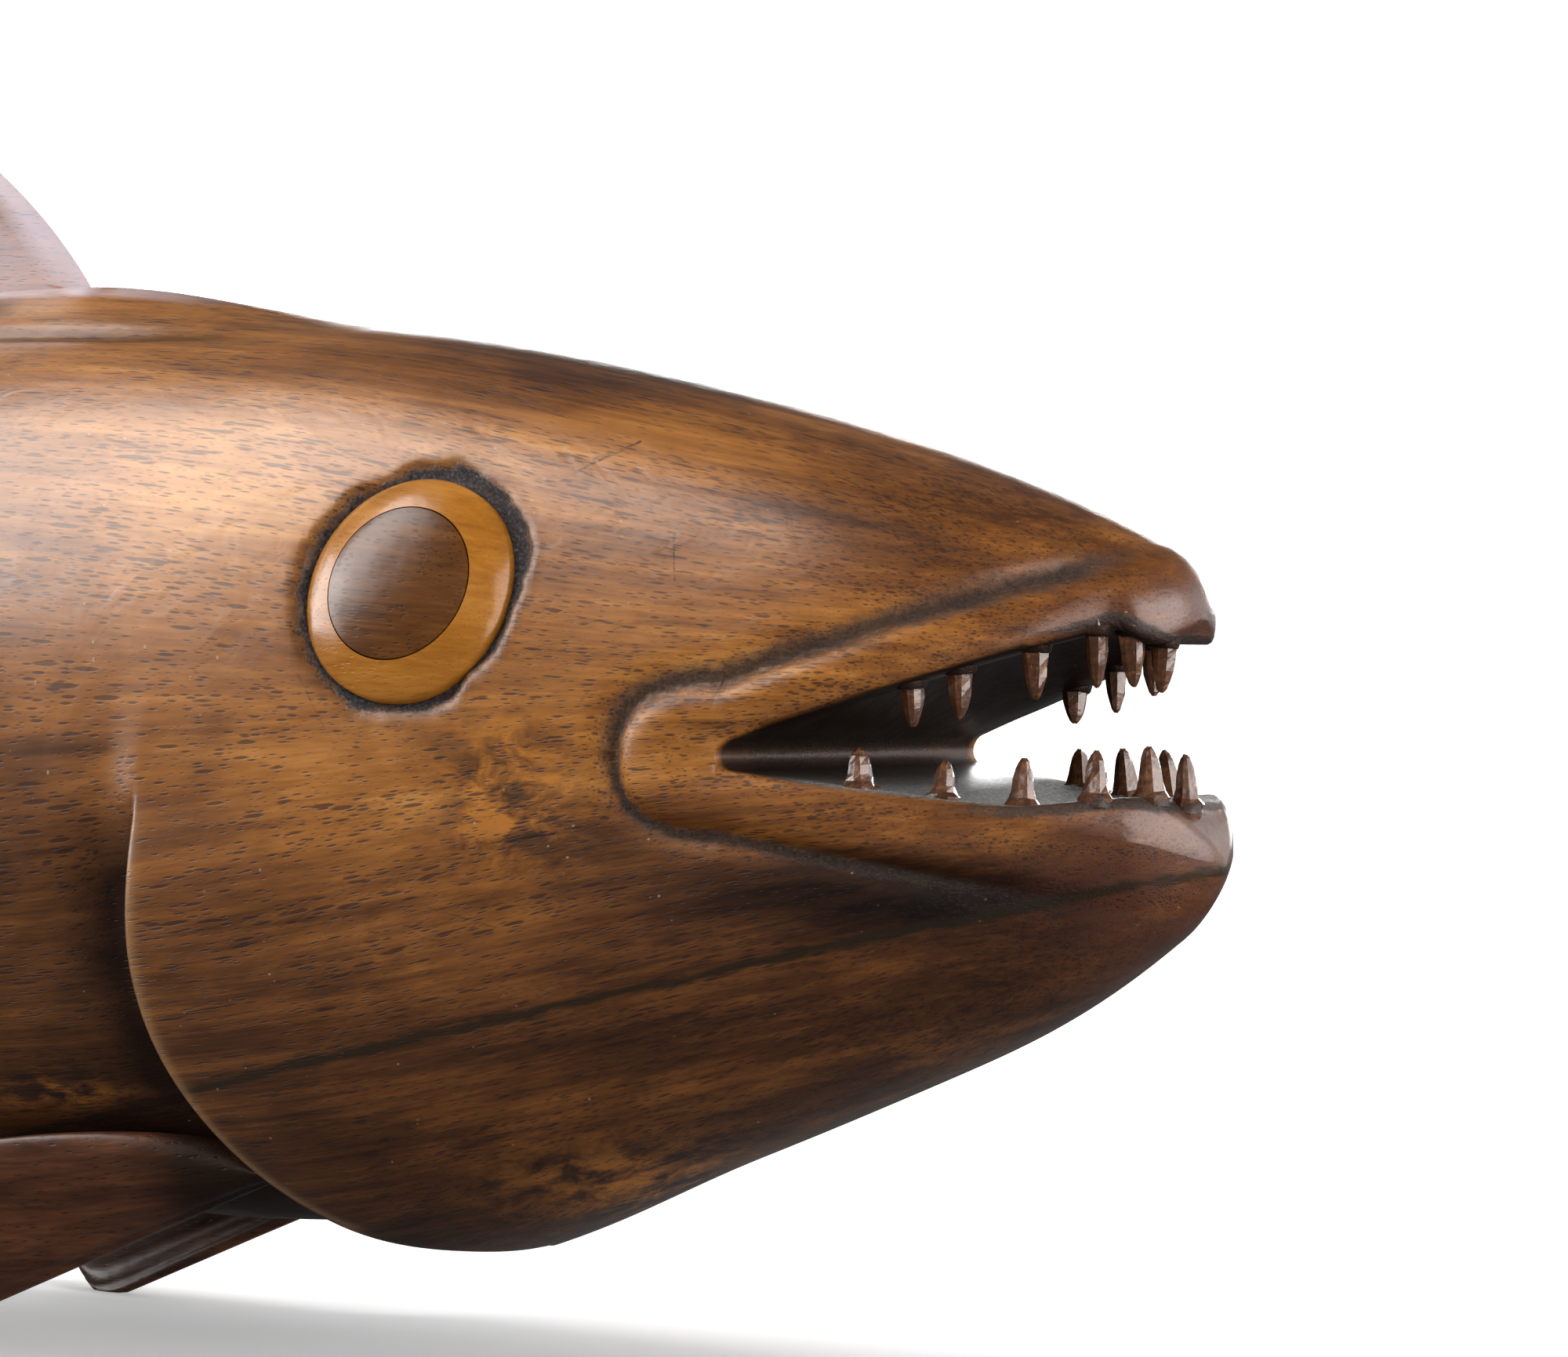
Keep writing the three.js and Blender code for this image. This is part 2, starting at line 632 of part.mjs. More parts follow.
addPiece('body', geometryOf(carvedBody()), finish.wood);
const grownBody = solidOf(bodySurface(clearance));
for (const [name, side] of [['right', -1], ['left', 1]]) {
  addPiece(`${name}_pectoral_fin`, geometryOf(pectoralFin(side, grownBody)), finish.wood);
  addPiece(`${name}_eye_ring`, eyeRing(), finish.ring, eyeFrame(side));
  addPiece(`${name}_pupil`, eyePupil(), finish.pupil, eyeFrame(side));
}
for (const one of teeth) addPiece(one.name, toothPeg(one), finish.tooth, toothFrame(one));

export default fish;
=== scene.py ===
# A varnished hardwood fish, carved whole, with pegged teeth and inlaid eyes.
# Shapes are worked out in millimetres: behind is the distance behind the snout, height is above the
# ground and out is the distance from the middle plane. The fish's right side is at negative Y.
import math

import bpy
import numpy as np
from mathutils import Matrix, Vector


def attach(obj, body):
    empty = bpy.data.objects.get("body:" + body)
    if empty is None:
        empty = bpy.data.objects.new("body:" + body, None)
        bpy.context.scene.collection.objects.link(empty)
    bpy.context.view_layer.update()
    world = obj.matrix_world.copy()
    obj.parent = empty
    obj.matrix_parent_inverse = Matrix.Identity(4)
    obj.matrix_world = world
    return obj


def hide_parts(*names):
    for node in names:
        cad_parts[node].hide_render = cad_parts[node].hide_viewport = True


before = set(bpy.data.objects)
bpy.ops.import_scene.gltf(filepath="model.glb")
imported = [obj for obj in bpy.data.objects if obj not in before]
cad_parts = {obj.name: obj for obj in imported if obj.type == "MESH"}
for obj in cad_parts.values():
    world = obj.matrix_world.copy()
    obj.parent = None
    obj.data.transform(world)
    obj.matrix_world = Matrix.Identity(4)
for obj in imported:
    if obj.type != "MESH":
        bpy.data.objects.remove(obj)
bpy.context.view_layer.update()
print("frame loaded")

millimetre = 0.001
snoutX = 214.5

fishBody = {
    # behind the snout, back height, belly height, half width, height of the widest place
    "profile": [
        [-6, 74.2, 48.2, 4, 63.7], [0, 76.2, 45.2, 8, 63.2], [5, 78.3, 41.3, 10.8, 62.7],
        [12, 81.5, 36.3, 14.9, 61.7], [20, 84.6, 31.7, 19, 60.7], [30, 87.8, 27.3, 22.4, 59.2],
        [40, 90.6, 23.2, 23.9, 58.2], [55, 94.3, 17.4, 25.8, 56.7], [72, 97.9, 11, 28, 55.7],
        [88, 100.4, 7, 29.6, 54.7], [105, 101.7, 9.6, 30.6, 54.7], [130, 103.2, 12.2, 30.8, 54.7],
        [170, 102.2, 13.2, 29.5, 54.7], [220, 95.7, 18.2, 25.5, 54.7], [270, 86.2, 26.2, 19.5, 54.2],
        [320, 74.2, 36.7, 12, 53.7], [360, 64.2, 44.7, 7, 53.7], [385, 61.7, 47.2, 4.5, 53.7],
    ],
    "smoothing": 3.5,  # of the profile, along the fish
    "squareness": 2.15,  # exponent of the rounded section
    "rows": {"back": 70, "lip": 5, "belly": 78, "roof": 36},
    "rearEnd": 387,
    "tailMiddle": 54,
}
fishMouth = {
    "corner": 39.7,
    "height": 58.5,
    "rise": 0.09,
    "spread": 0.22,
    "radius": 1.2,
    "knob": 4.3,
    "frontRise": 2.2,
    "lipRound": 1.3,
    "tipLipRound": 4.2,
    "lipInset": 1.6,
    "palateVault": 4,
    "floorDish": 0.8,
}
fishJaws = {
    "upper": {"tipHeight": 71.5, "tipRound": 4.3, "reach": -1.2},
    "lower": {"tipHeight": 48.9, "tipRound": 5.5, "reach": 1},
}
lipBand = {
    "sides": [[7.2, 7.4], [0.24, 0.29]],  # width above and below the corner, and how both widen ahead
    "behind": 10.7,
    "height": 0.95,
    "groove": 1.1,
    "grooveWidth": 0.95,
}
gillCover = {
    # degrees round the section from the back, distance behind the snout
    "edge": [[0, 101], [70, 101], [88, 102], [100, 103.6], [112, 104.3], [125, 102.5],
             [138, 97.5], [150, 90], [165, 80], [180, 75]],
    "station": 103,
    "raised": 0.8,
    "sunk": 2.0,
    "throat": 3.6,  # how much deeper the throat is than the flank
    "trough": 1.1,
    "rim": 1.1,  # radius of its rounded edge
    "fade": [89, 104],
    "flankFade": [70, 116],
    "ahead": 26,
    "behind": 40,
}
backKeel = {"from": 88, "full": 132, "end": 214, "gone": 240, "height": 3.4, "halfWidth": 5.5}
eyeSeat = {
    "behind": 73.5,
    "height": 74.4,
    "long": 11.2,
    "short": 10.8,
    "tilt": 52,
    "pupil": 0.68,
    "dome": 2.6,
    "sunk": 0.75,  # the ring's edge under the flank
    "crevice": 1.0,  # depth
}


def softStep(low, high, value):
    t = np.clip((value - low) / (high - low), 0, 1)
    return t * t * (3 - 2 * t)


# Smooth curve through the rows of a table: each piece is a cubic whose slopes at the rows are the
# weighted means of the slopes on both sides
def through(rows, column, place):
    table = np.array(rows, float)
    x, y = table[:, 0], table[:, column]
    step = np.diff(x)
    slope = np.diff(y) / step
    tangent = np.empty_like(y)
    tangent[1:-1] = (step[:-1] * slope[1:] + step[1:] * slope[:-1]) / (step[:-1] + step[1:])
    tangent[0], tangent[-1] = slope[0], slope[-1]
    i = np.clip(np.searchsorted(x, place, side="right") - 1, 0, len(x) - 2)
    t = (place - x[i]) / step[i]
    start = y[i] * (1 + 2 * t) * (1 - t) ** 2 + step[i] * tangent[i] * t * (1 - t) ** 2
    return start + y[i + 1] * t * t * (3 - 2 * t) + step[i] * tangent[i + 1] * t * t * (t - 1)


# The profile's columns, each averaged along the fish with a bell-shaped weight
def smoothProfile():
    spacing = 0.5
    fine = np.arange(-6, 385 + spacing / 2, spacing)
    reach = int(3 * fishBody["smoothing"] / spacing)
    steps = np.arange(-reach, reach + 1)
    bell = np.exp(-0.5 * (steps * spacing / fishBody["smoothing"]) ** 2)
    bell /= bell.sum()
    columns = [fine]
    for column in range(1, 5):
        raw = through(fishBody["profile"], column, fine)
        before = raw[0] + (raw[1] - raw[0]) * np.arange(-reach, 0)
        after = raw[-1] + (raw[-1] - raw[-2]) * np.arange(1, reach + 1)
        columns.append(np.convolve(np.concatenate([before, raw, after]), bell, "valid"))
    return columns


profileColumns = smoothProfile()


def profileAt(behind):
    return [np.interp(behind, profileColumns[0], profileColumns[k]) for k in (1, 2, 3, 4)]


# A rounded section: out and height are the sine and cosine of the angle, each scaled by how far the
# curve |sine|^n + |cosine|^n = 1 lies in that direction
def section(behind, angle):
    back, belly, half, widest = profileAt(behind)
    n = fishBody["squareness"]
    sine, cosine = np.sin(angle), np.cos(angle)
    reach = (np.abs(sine) ** n + np.abs(cosine) ** n) ** (-1 / n)
    rise = np.where(cosine > 0, back - widest, widest - belly)
    return half * sine * reach, widest + rise * cosine * reach


# The angle at which a section passes a height, by halving
def angleAt(behind, height):
    low = np.zeros(np.broadcast(behind, height).shape)
    high = low + math.pi
    for _ in range(36):
        middle = (low + high) / 2
        above = section(behind, middle)[1] > height
        low, high = np.where(above, middle, low), np.where(above, high, middle)
    return (low + high) / 2


def lips(behind):
    inside = np.maximum(fishMouth["corner"] - behind, 0)
    middle = fishMouth["height"] + fishMouth["rise"] * inside
    opened = np.clip(inside / fishMouth["radius"], 0, 1)
    gap = fishMouth["spread"] * inside + fishMouth["radius"] * np.sqrt(1 - (1 - opened) ** 2)
    upper = middle + gap - fishMouth["knob"] * softStep(6, 0.5, behind)
    lower = middle - gap + fishMouth["frontRise"] * softStep(16, 3, behind)
    return upper, lower, middle, inside


# How far a place is from the line of the mouth, as a share of the raised band's width, and how far
# in millimetres beyond the band. The band's edge is a half oval round the corner, with exponent 2.6,
# and then runs straight along each jaw.
def lipDistance(behind, height):
    middle, inside = lips(behind)[2:]
    past = np.maximum(behind - fishMouth["corner"], 0) / lipBand["behind"]
    above = height > middle
    side, slope = (np.where(above, *pair) for pair in lipBand["sides"])
    fromLine = np.maximum(np.abs(height - middle) - slope * inside, 0)
    n = 2.6
    share = (past**n + (fromLine / side) ** n + 1e-12) ** (1 / n)
    beyond = (share - 1) * (side + (lipBand["behind"] - side) * np.clip(past, 0, 1) ** 2)
    return share, beyond, above


def bandFade(behind, above):
    return np.where(above, softStep(4, 11, behind), softStep(7, 30, behind))


# The band is a rounded roll and the groove outside it a dip, steep on the band's side
def lipRelief(behind, height):
    share, beyond, above = lipDistance(behind, height)
    front = bandFade(behind, above)
    roll = softStep(0.05, 0.7, share) * softStep(0.5, -4.6, beyond) * softStep(2, 26, behind)
    width = np.where(beyond < 0, lipBand["grooveWidth"] * 1.1, lipBand["grooveWidth"] * 1.6)
    dip = np.exp(-((beyond / width) ** 2))
    return lipBand["height"] * roll * (0.3 + 0.7 * front) - front * lipBand["groove"] * dip


def gillAhead(behind, degrees):
    return through(gillCover["edge"], 1, degrees) - behind


# A cover that swells toward its edge, ends in a quarter round, and leaves the flank lower
def gillRelief(behind, degrees):
    ahead = gillAhead(behind, degrees)
    shown = softStep(*gillCover["fade"], degrees)
    rim = gillCover["rim"]
    fromRim = np.clip(ahead / rim, 0, 1)
    rounding = rim * 0.7 * (1 - np.sqrt(1 - (1 - fromRim) ** 2))
    cover = gillCover["raised"] * softStep(gillCover["ahead"], 0, ahead) - rounding
    sunk = gillCover["sunk"] + gillCover["throat"] * softStep(120, 160, degrees)
    flank = -sunk * softStep(gillCover["behind"], 4, -ahead)
    flank = flank * softStep(*gillCover["flankFade"], degrees) * softStep(0.2, -5, ahead)
    edge = flank - shown * (sunk + gillCover["trough"]) * np.exp(-((ahead / 6) ** 2))
    return np.where(ahead > -0.01, shown * cover, np.minimum(edge, flank))


# The keel stands up over a narrow band of the back and has a shallow groove along its foot
def keelRelief(behind, angle, out):
    keel = backKeel
    along = softStep(keel["from"], keel["full"], behind) * softStep(keel["gone"], keel["end"], behind)
    side = np.abs(out) / keel["halfWidth"]
    foot = np.exp(-(((side - 1.75) / 0.26) ** 2))
    shape = keel["height"] * np.exp(-(side**2)) - 1.3 * foot * softStep(98, 122, behind)
    return np.where(angle < math.pi / 2, along * shape, 0)


# A point on the skin: the smooth section moved outward along its own normal by the carving
def skin(behind, angle):
    out, height = section(behind, angle)
    outBefore, heightBefore = section(behind, np.maximum(angle - 0.01, 0))
    outAfter, heightAfter = section(behind, np.minimum(angle + 0.01, math.pi))
    run = np.hypot(outAfter - outBefore, heightAfter - heightBefore)
    raised = (lipRelief(behind, height) + gillRelief(behind, np.degrees(angle))
              + keelRelief(behind, angle, out))
    out = np.maximum(out + raised * (heightBefore - heightAfter) / run, 0)
    height = height + raised * (outAfter - outBefore) / run
    edge = (angle <= 0) | (angle >= math.pi)
    return np.where(edge, 0, out), height


# Shares from 0 to 1 whose spacing shrinks near a place, as the running sum of a bell over a floor
def closerAt(count, place, width, strength):
    t = np.linspace(0, 1, 4000)
    total = np.cumsum(1 + strength * np.exp(-(((t - place) / width) ** 2)))
    total = (total - total[0]) / (total[-1] - total[0])
    return np.interp(np.linspace(0, 1, count + 1), total, t)


def leaning(station, angle):
    lean = softStep(46, gillCover["station"], station) * softStep(170, gillCover["station"], station)
    return station + lean * (through(gillCover["edge"], 1, np.degrees(angle)) - gillCover["station"])


def trunkStations():
    edge = gillCover["station"]
    corner = fishMouth["corner"]
    parts = [
        np.arange(385, 172, -5),
        np.arange(172, 112, -2.6),
        np.arange(112, edge + 1.5, -0.9),
        np.arange(edge + 1.5, edge - 2.2, -0.3),
        np.arange(edge - 2.2, 87, -0.9),
        np.arange(87, 57, -0.58),
        np.arange(57, corner + 0.4, -0.62),
        [corner],
    ]
    return np.concatenate(parts)


# Loops round the body from the tail to the corners of the mouth, right side down, left side up
def trunkLoops(stations):
    rows = fishBody["rows"]
    station = stations[:, None]
    toCorner = softStep(140, fishMouth["corner"], stations)
    widest = profileAt(stations)[3]
    middle = widest + (fishMouth["height"] - widest) * toCorner
    half = np.minimum(fishMouth["lipRound"] + 0.06 * (stations - fishMouth["corner"]), 7)
    above, centre, below = (angleAt(stations, middle + shift)[:, None] for shift in (half, 0, -half))
    lipShares = np.linspace(0, 1, rows["lip"] + 1)[None, 1:]
    back = closerAt(rows["back"], 0.66, 0.2, 1.2)[None]
    belly = closerAt(rows["belly"], 0.08, 0.14, 0.8)[None, 1:]
    angles = np.concatenate([
        above * back,
        above + (centre - above) * lipShares,
        centre + (below - centre) * lipShares,
        below + (math.pi - below) * belly,
    ], axis=1)
    behind = leaning(station, angles)
    out, height = skin(behind, angles)
    right = np.stack([snoutX - behind, -out, height], -1)
    left = right[:, ::-1][:, 1:-1] * np.array([1, -1, 1])
    return np.concatenate([right, left], axis=1)


def capStations(tipRound):
    return tipRound * (1 - np.cos(np.linspace(math.pi / 2, 0, 14)))[:-1]


# How far the mouth's rim lies inside the lip, more toward the tips of the jaws
def rimInset(behind):
    inside = np.maximum(fishMouth["corner"] - behind, 0)
    return (fishMouth["lipInset"] + 1.5 * softStep(13, 3, behind)) * softStep(0, 7, inside)


# The share of its depth that the palate or floor has at a share of the way across: 1 - (a / 0.86)^2.2
def mouthBowl(behind, across):
    inside = np.maximum(fishMouth["corner"] - behind, 0)
    fade = softStep(0, 14, inside) * softStep(3, 16, behind)
    return fade * (1 - np.minimum(np.abs(across) / 0.86, 1) ** 2.2)


# Loops round a jaw from the corner of the mouth to its tip. The lip's edge is a quadratic curve from
# the skin over the edge to the rim, and the roof or floor of the mouth is a shallow bowl between rims.
def jawLoops(jaw):
    isUpper = jaw == "upper"
    rows = fishBody["rows"]
    tip = fishJaws[jaw]
    first = 1.2 * (1 - np.cos(np.linspace(0, math.pi / 2, 6)))[1:-1]
    opened = np.arange(1.2, fishMouth["corner"] - tip["tipRound"], 0.62)
    inside = np.concatenate([first, opened, fishMouth["corner"] - capStations(tip["tipRound"])])
    behind = fishMouth["corner"] - inside
    sign = 1 if isUpper else -1
    edge = lips(behind)[0 if isUpper else 1] + sign * 1.7 * (1 - np.clip(behind / 4.5, 0, 1)) ** 2
    start = 0 if isUpper else math.pi
    rounding = fishMouth["lipRound"] + softStep(15, 3, behind) * (fishMouth["tipLipRound"] - fishMouth["lipRound"])
    end = angleAt(behind, edge + sign * rounding)
    if isUpper:
        shares = closerAt(rows["back"], 0.66, 0.2, 1.2)
    else:
        shares = 1 - closerAt(rows["belly"], 0.08, 0.14, 0.8)[::-1]
    wallOut, wallHeight = skin(behind[:, None], start + (end - start)[:, None] * shares[None])
    cornerOut = section(behind, angleAt(behind, edge))[0]
    rimOut = cornerOut - rimInset(behind)
    t = np.linspace(0, 1, rows["lip"] + 1)[None, 1:]
    weights = (1 - t) ** 2, 2 * t * (1 - t), t**2
    outer = cornerOut - 0.9 * softStep(14, 3, behind)
    roundOut = wallOut[:, -1:] * weights[0] + outer[:, None] * weights[1] + rimOut[:, None] * weights[2]
    roundHeight = wallHeight[:, -1:] * weights[0] + edge[:, None] * (weights[1] + weights[2])
    depth = fishMouth["palateVault"] if isUpper else -fishMouth["floorDish"]
    across = 2 * np.linspace(0, 1, rows["roof"] + 1)[None, 1:-1] - 1
    roofHeight = edge[:, None] + depth * mouthBowl(behind[:, None], across)
    out = np.concatenate([wallOut, roundOut], 1)
    height = np.concatenate([wallHeight, roundHeight], 1)
    right = np.stack([-out, height], -1)
    left = np.stack([out, height], -1)
    roof = np.stack([rimOut[:, None] * across, roofHeight], -1)
    if isUpper:
        loop = np.concatenate([right, roof, left[:, ::-1][:, :-1]], 1)
    else:
        loop = np.concatenate([right[:, ::-1], left[:, 1:], roof[:, ::-1]], 1)
    shrink = np.sqrt(1 - (1 - np.clip(behind / tip["tipRound"], 0, 1)) ** 2)[:, None]
    forward = tip["reach"] * softStep(fishMouth["corner"], 0, behind)
    x = np.broadcast_to((snoutX - behind + forward)[:, None], loop.shape[:2])
    y = loop[..., 0] * shrink
    z = tip["tipHeight"] + (loop[..., 1] - tip["tipHeight"]) * shrink
    return np.stack([x, y, z], -1)


# Four-sided faces between neighbouring rows of a table of vertex numbers, closed round each row
def quadsBetween(numbers):
    a, b = numbers[:-1], numbers[1:]
    return np.stack([a, np.roll(a, -1, 1), np.roll(b, -1, 1), b], -1).reshape(-1, 4)


def fanTo(loop, tip):
    return np.stack([loop, np.roll(loop, -1), np.full(len(loop), tip)], -1)


# Six times the enclosed volume, from the triple products of each face's fan of triangles
def enclosed(points, faces):
    total = 0
    for group in faces:
        for k in range(1, group.shape[1] - 1):
            a, b, c = points[group[:, 0]], points[group[:, k]], points[group[:, k + 1]]
            total += np.einsum("ij,ij->i", a, np.cross(b, c)).sum()
    return total


def makePiece(name, points, faces, smooth=True):
    if enclosed(points, faces) < 0:
        faces = [group[:, ::-1] for group in faces]
    mesh = bpy.data.meshes.new(name)
    mesh.from_pydata((points * millimetre).tolist(), [], [f for group in faces for f in group.tolist()])
    mesh.polygons.foreach_set("use_smooth", [smooth] * len(mesh.polygons))
    mesh.update()
    piece = bpy.data.objects.new(name, mesh)
    bpy.context.scene.collection.objects.link(piece)
    return piece


def meshPoints(piece):
    flat = np.empty(len(piece.data.vertices) * 3)
    piece.data.vertices.foreach_get("co", flat)
    return flat.reshape(-1, 3) / millimetre


def setPoints(piece, points):
    piece.data.vertices.foreach_set("co", (points * millimetre).ravel())
    piece.data.update()


# The trunk's loops, the two jaws that grow out of its last loop, and a point at each end
def bodySurface():
    rows = fishBody["rows"]
    trunk = trunkLoops(trunkStations())
    count, around = trunk.shape[:2]
    points = [trunk.reshape(-1, 3)]
    numbers = np.arange(count * around).reshape(count, around)
    quads = [quadsBetween(numbers)]
    used = count * around

    toCorner = rows["back"] + rows["lip"]
    corner = numbers[-1]
    half = trunk[-1, -toCorner, 1]
    shares = np.linspace(-1, 1, rows["roof"] + 1)[1:-1]
    valley = np.stack([0 * shares + snoutX - fishMouth["corner"], half * shares,
                       0 * shares + trunk[-1, toCorner, 2]], -1)
    points.append(valley)
    across = used + np.arange(len(shares))
    used += len(shares)
    first = {
        "upper": np.concatenate([corner[: toCorner + 1], across, corner[around - toCorner:]]),
        "lower": np.concatenate([corner[toCorner: around - toCorner + 1], across[::-1]]),
    }
    fans = []
    for jaw, start in first.items():
        loops = jawLoops(jaw)
        table = used + np.arange(loops.shape[0] * loops.shape[1]).reshape(loops.shape[:2])
        used += table.size
        points.append(loops.reshape(-1, 3))
        quads.append(quadsBetween(np.concatenate([start[None], table])))
        tip = np.array([[snoutX + fishJaws[jaw]["reach"], 0, fishJaws[jaw]["tipHeight"]]])
        points.append(tip)
        fans.append(fanTo(table[-1], used))
        used += 1
    points.append(np.array([[snoutX - fishBody["rearEnd"], 0, fishBody["tailMiddle"]]]))
    fans.append(fanTo(corner * 0 + numbers[0], used)[:, ::-1])
    return np.concatenate(points), [np.concatenate(quads), np.concatenate(fans)]


bodyPoints, bodyFaces = bodySurface()
body = makePiece("carvedBody", bodyPoints, bodyFaces)
print("body surface:", len(bodyPoints), "points,", len(body.data.polygons), "faces")


# Middle fins: the leading and trailing edges each run through three control places, as behind the
# snout and height
middleFins = {
    "firstDorsal": {
        "lead": [[127, 97], [138, 124], [184, 138]],
        "trail": [[216, 93], [188, 110], [189, 131]],
        "thick": [8, 3],
        "bevel": 1.9,
    },
    "secondDorsal": {
        "lead": [[256, 77], [266, 99], [294, 104]],
        "trail": [[294, 71], [284, 89], [298, 100]],
        "thick": [5.5, 2.6],
        "bevel": 1.3,
    },
    "anal": {
        "lead": [[262, 33], [272, 13], [298, 8]],
        "trail": [[299, 39], [288, 21], [302, 12]],
        "thick": [5.5, 2.6],
        "bevel": 1.3,
    },
    "lowerTail": {
        "lead": [[364, 51], [392, 33], [421.2, -4]],
        "trail": [[410, 61], [412, 29], [433.4, -1.5]],
        "thick": [7, 4],
        "blunt": 2.4,
        "bevel": 1.5,
    },
    "upperTail": {
        "lead": [[364, 57], [392, 75], [421.2, 112]],
        "trail": [[410, 47], [412, 79], [433.4, 109.5]],
        "thick": [7, 4],
        "blunt": 2.4,
        "bevel": 1.5,
    },
}
# A pectoral fin's plane runs through the ends of its lower edge and a place on the flank
pectoralFin = {
    "root": [100, 12.6, 14.8],
    "foot": [138.7, 13.5, 0.6],
    "flank": [123, 21.8, 20.5],
    "lead": [[-8, 0.8], [18, -0.2], [45.5, -1]],
    "trail": [[-2, 3], [9, 16.5], [57, 22]],
    "thick": [6, 4],
    "blunt": 5,
    "bevel": 1.2,
    "rays": [0.22, 0.45, 0.68],
}
finRounding = 0.85  # share of a fin's length where its tip starts to round off


def alongCurve(places, t):
    a, b, c = np.array(places, float)
    t = t[:, None]
    return a * (1 - t) ** 2 + b * 2 * t * (1 - t) + c * t * t


# A lens-shaped fin on a grid of shares along its length and across its chord. Off the fin's plane it
# is half the thickness times (1 - |2s - 1|^2.6)^0.6, less a line behind the bevelled leading edge
# and less the rays.
def finSurface(fin, alongCount=38, acrossCount=18):
    t = np.concatenate([np.linspace(0, finRounding, alongCount), finRounding
                        + (1 - finRounding) * np.sin(np.linspace(0, math.pi / 2, 12))[1:-1]])
    t = np.append(t, 0.9985)
    lead, trail = alongCurve(fin["lead"], t), alongCurve(fin["trail"], t)
    blunt = fin.get("blunt", 2)
    drawnIn = (1 - np.clip((t - finRounding) / (1 - finRounding), 0, 1) ** blunt) ** (1 / blunt)
    share = (1 - np.cos(np.linspace(0, math.pi, acrossCount + 1))) / 2
    half = (fin["thick"][0] + (fin["thick"][1] - fin["thick"][0]) * np.sqrt(t)) / 2 * drawnIn**0.5
    off = half[:, None] * (1 - np.abs(2 * share - 1) ** 2.6)[None] ** 0.6
    chord = np.hypot(*(trail - lead).T)[:, None]
    fromLead = share[None] * chord
    line = np.exp(-(((fromLead - fin["bevel"]) / 0.35) ** 2))
    off = off - np.minimum(0.35 * line * drawnIn[:, None] ** 2, off * 0.5)
    for ray in fin.get("rays", []):
        incised = np.exp(-((((share[None] - ray) * chord) / 0.45) ** 2)) * softStep(0.32, 0.6, t)[:, None]
        off = off - 0.4 * incised * drawnIn[:, None]
    drawn = 0.5 + (share[None] - 0.5) * drawnIn[:, None]
    place = lead[:, None] + (trail - lead)[:, None] * drawn[..., None]
    near = np.concatenate([place, off[..., None]], -1)
    far = np.concatenate([place, -off[..., None]], -1)[:, 1:-1][:, ::-1]
    return np.concatenate([near, far], 1)


# Points and faces of a tube of loops, closed at both ends with a point in the middle of the loop
def closedTube(loops):
    count, around = loops.shape[:2]
    points = np.concatenate([loops.reshape(-1, 3), loops[:1].mean(1), loops[-1:].mean(1)])
    numbers = np.arange(count * around).reshape(count, around)
    fans = [fanTo(numbers[0], count * around)[:, ::-1], fanTo(numbers[-1], count * around + 1)]
    return points, [quadsBetween(numbers), np.concatenate(fans)]


def inMiddle(places):
    return np.stack([snoutX - places[..., 0], places[..., 2], places[..., 1]], -1)


def onFlank(side):
    def corner(place):
        return np.array([snoutX - place[0], side * place[1], place[2]])

    root, foot, flank = (corner(pectoralFin[key]) for key in ("root", "foot", "flank"))
    along = (foot - root) / np.linalg.norm(foot - root)
    up = flank - root
    up = up - along * (up @ along)
    up /= np.linalg.norm(up)
    axes = np.stack([along, up, np.cross(along, up)])
    return lambda places: root + places @ axes


def aboveGround(points):
    points[:, 2] = np.maximum(points[:, 2], 0)
    return points


# Joins pieces into the first one, or cuts them from it
def combine(piece, others, operation):
    for other in others:
        modifier = piece.modifiers.new("combine", "BOOLEAN")
        modifier.object = other
        modifier.operation = operation
        modifier.solver = "MANIFOLD"
        bpy.context.view_layer.objects.active = piece
        with bpy.context.temp_override(object=piece, active_object=piece):
            bpy.ops.object.modifier_apply(modifier=modifier.name)
        bpy.data.objects.remove(other)


combine(body, [makePiece(name, *closedTube(inMiddle(finSurface(fin)))) for name, fin in middleFins.items()],
        "UNION")
setPoints(body, aboveGround(meshPoints(body)))
print("middle fins joined:", len(body.data.polygons), "faces")

fins = []
for side, name in ((-1, "rightPectoralFin"), (1, "leftPectoralFin")):
    points, faces = closedTube(onFlank(side)(finSurface(pectoralFin, 70, 30)))
    fins.append(makePiece(name, aboveGround(points), faces))


# The eye's own axes: along its length, across it and outward, and its middle
def eyeFrame(side):
    def at(behind, height):
        out, z = section(behind, angleAt(behind, height))
        return np.array([snoutX - behind, side * float(out), float(z)])

    behind, height = eyeSeat["behind"], eyeSeat["height"]
    forward = at(behind - 3, height) - at(behind + 3, height)
    upward = at(behind, height + 3) - at(behind, height - 3)
    outward = -side * np.cross(forward, upward)
    outward /= np.linalg.norm(outward)
    forward /= np.linalg.norm(forward)
    upward /= np.linalg.norm(upward)
    tilt = math.radians(eyeSeat["tilt"])
    along = forward * math.cos(tilt) + upward * math.sin(tilt)
    along -= outward * (along @ outward)
    along /= np.linalg.norm(along)
    return np.stack([along, np.cross(outward, along), outward]), at(behind, height)


# Height of the eye's one dome over the share r of the oval
def domeHeight(r):
    return -eyeSeat["sunk"] + (eyeSeat["dome"] + eyeSeat["sunk"]) * (1 - np.minimum(r, 1) ** 2.3) ** 0.8


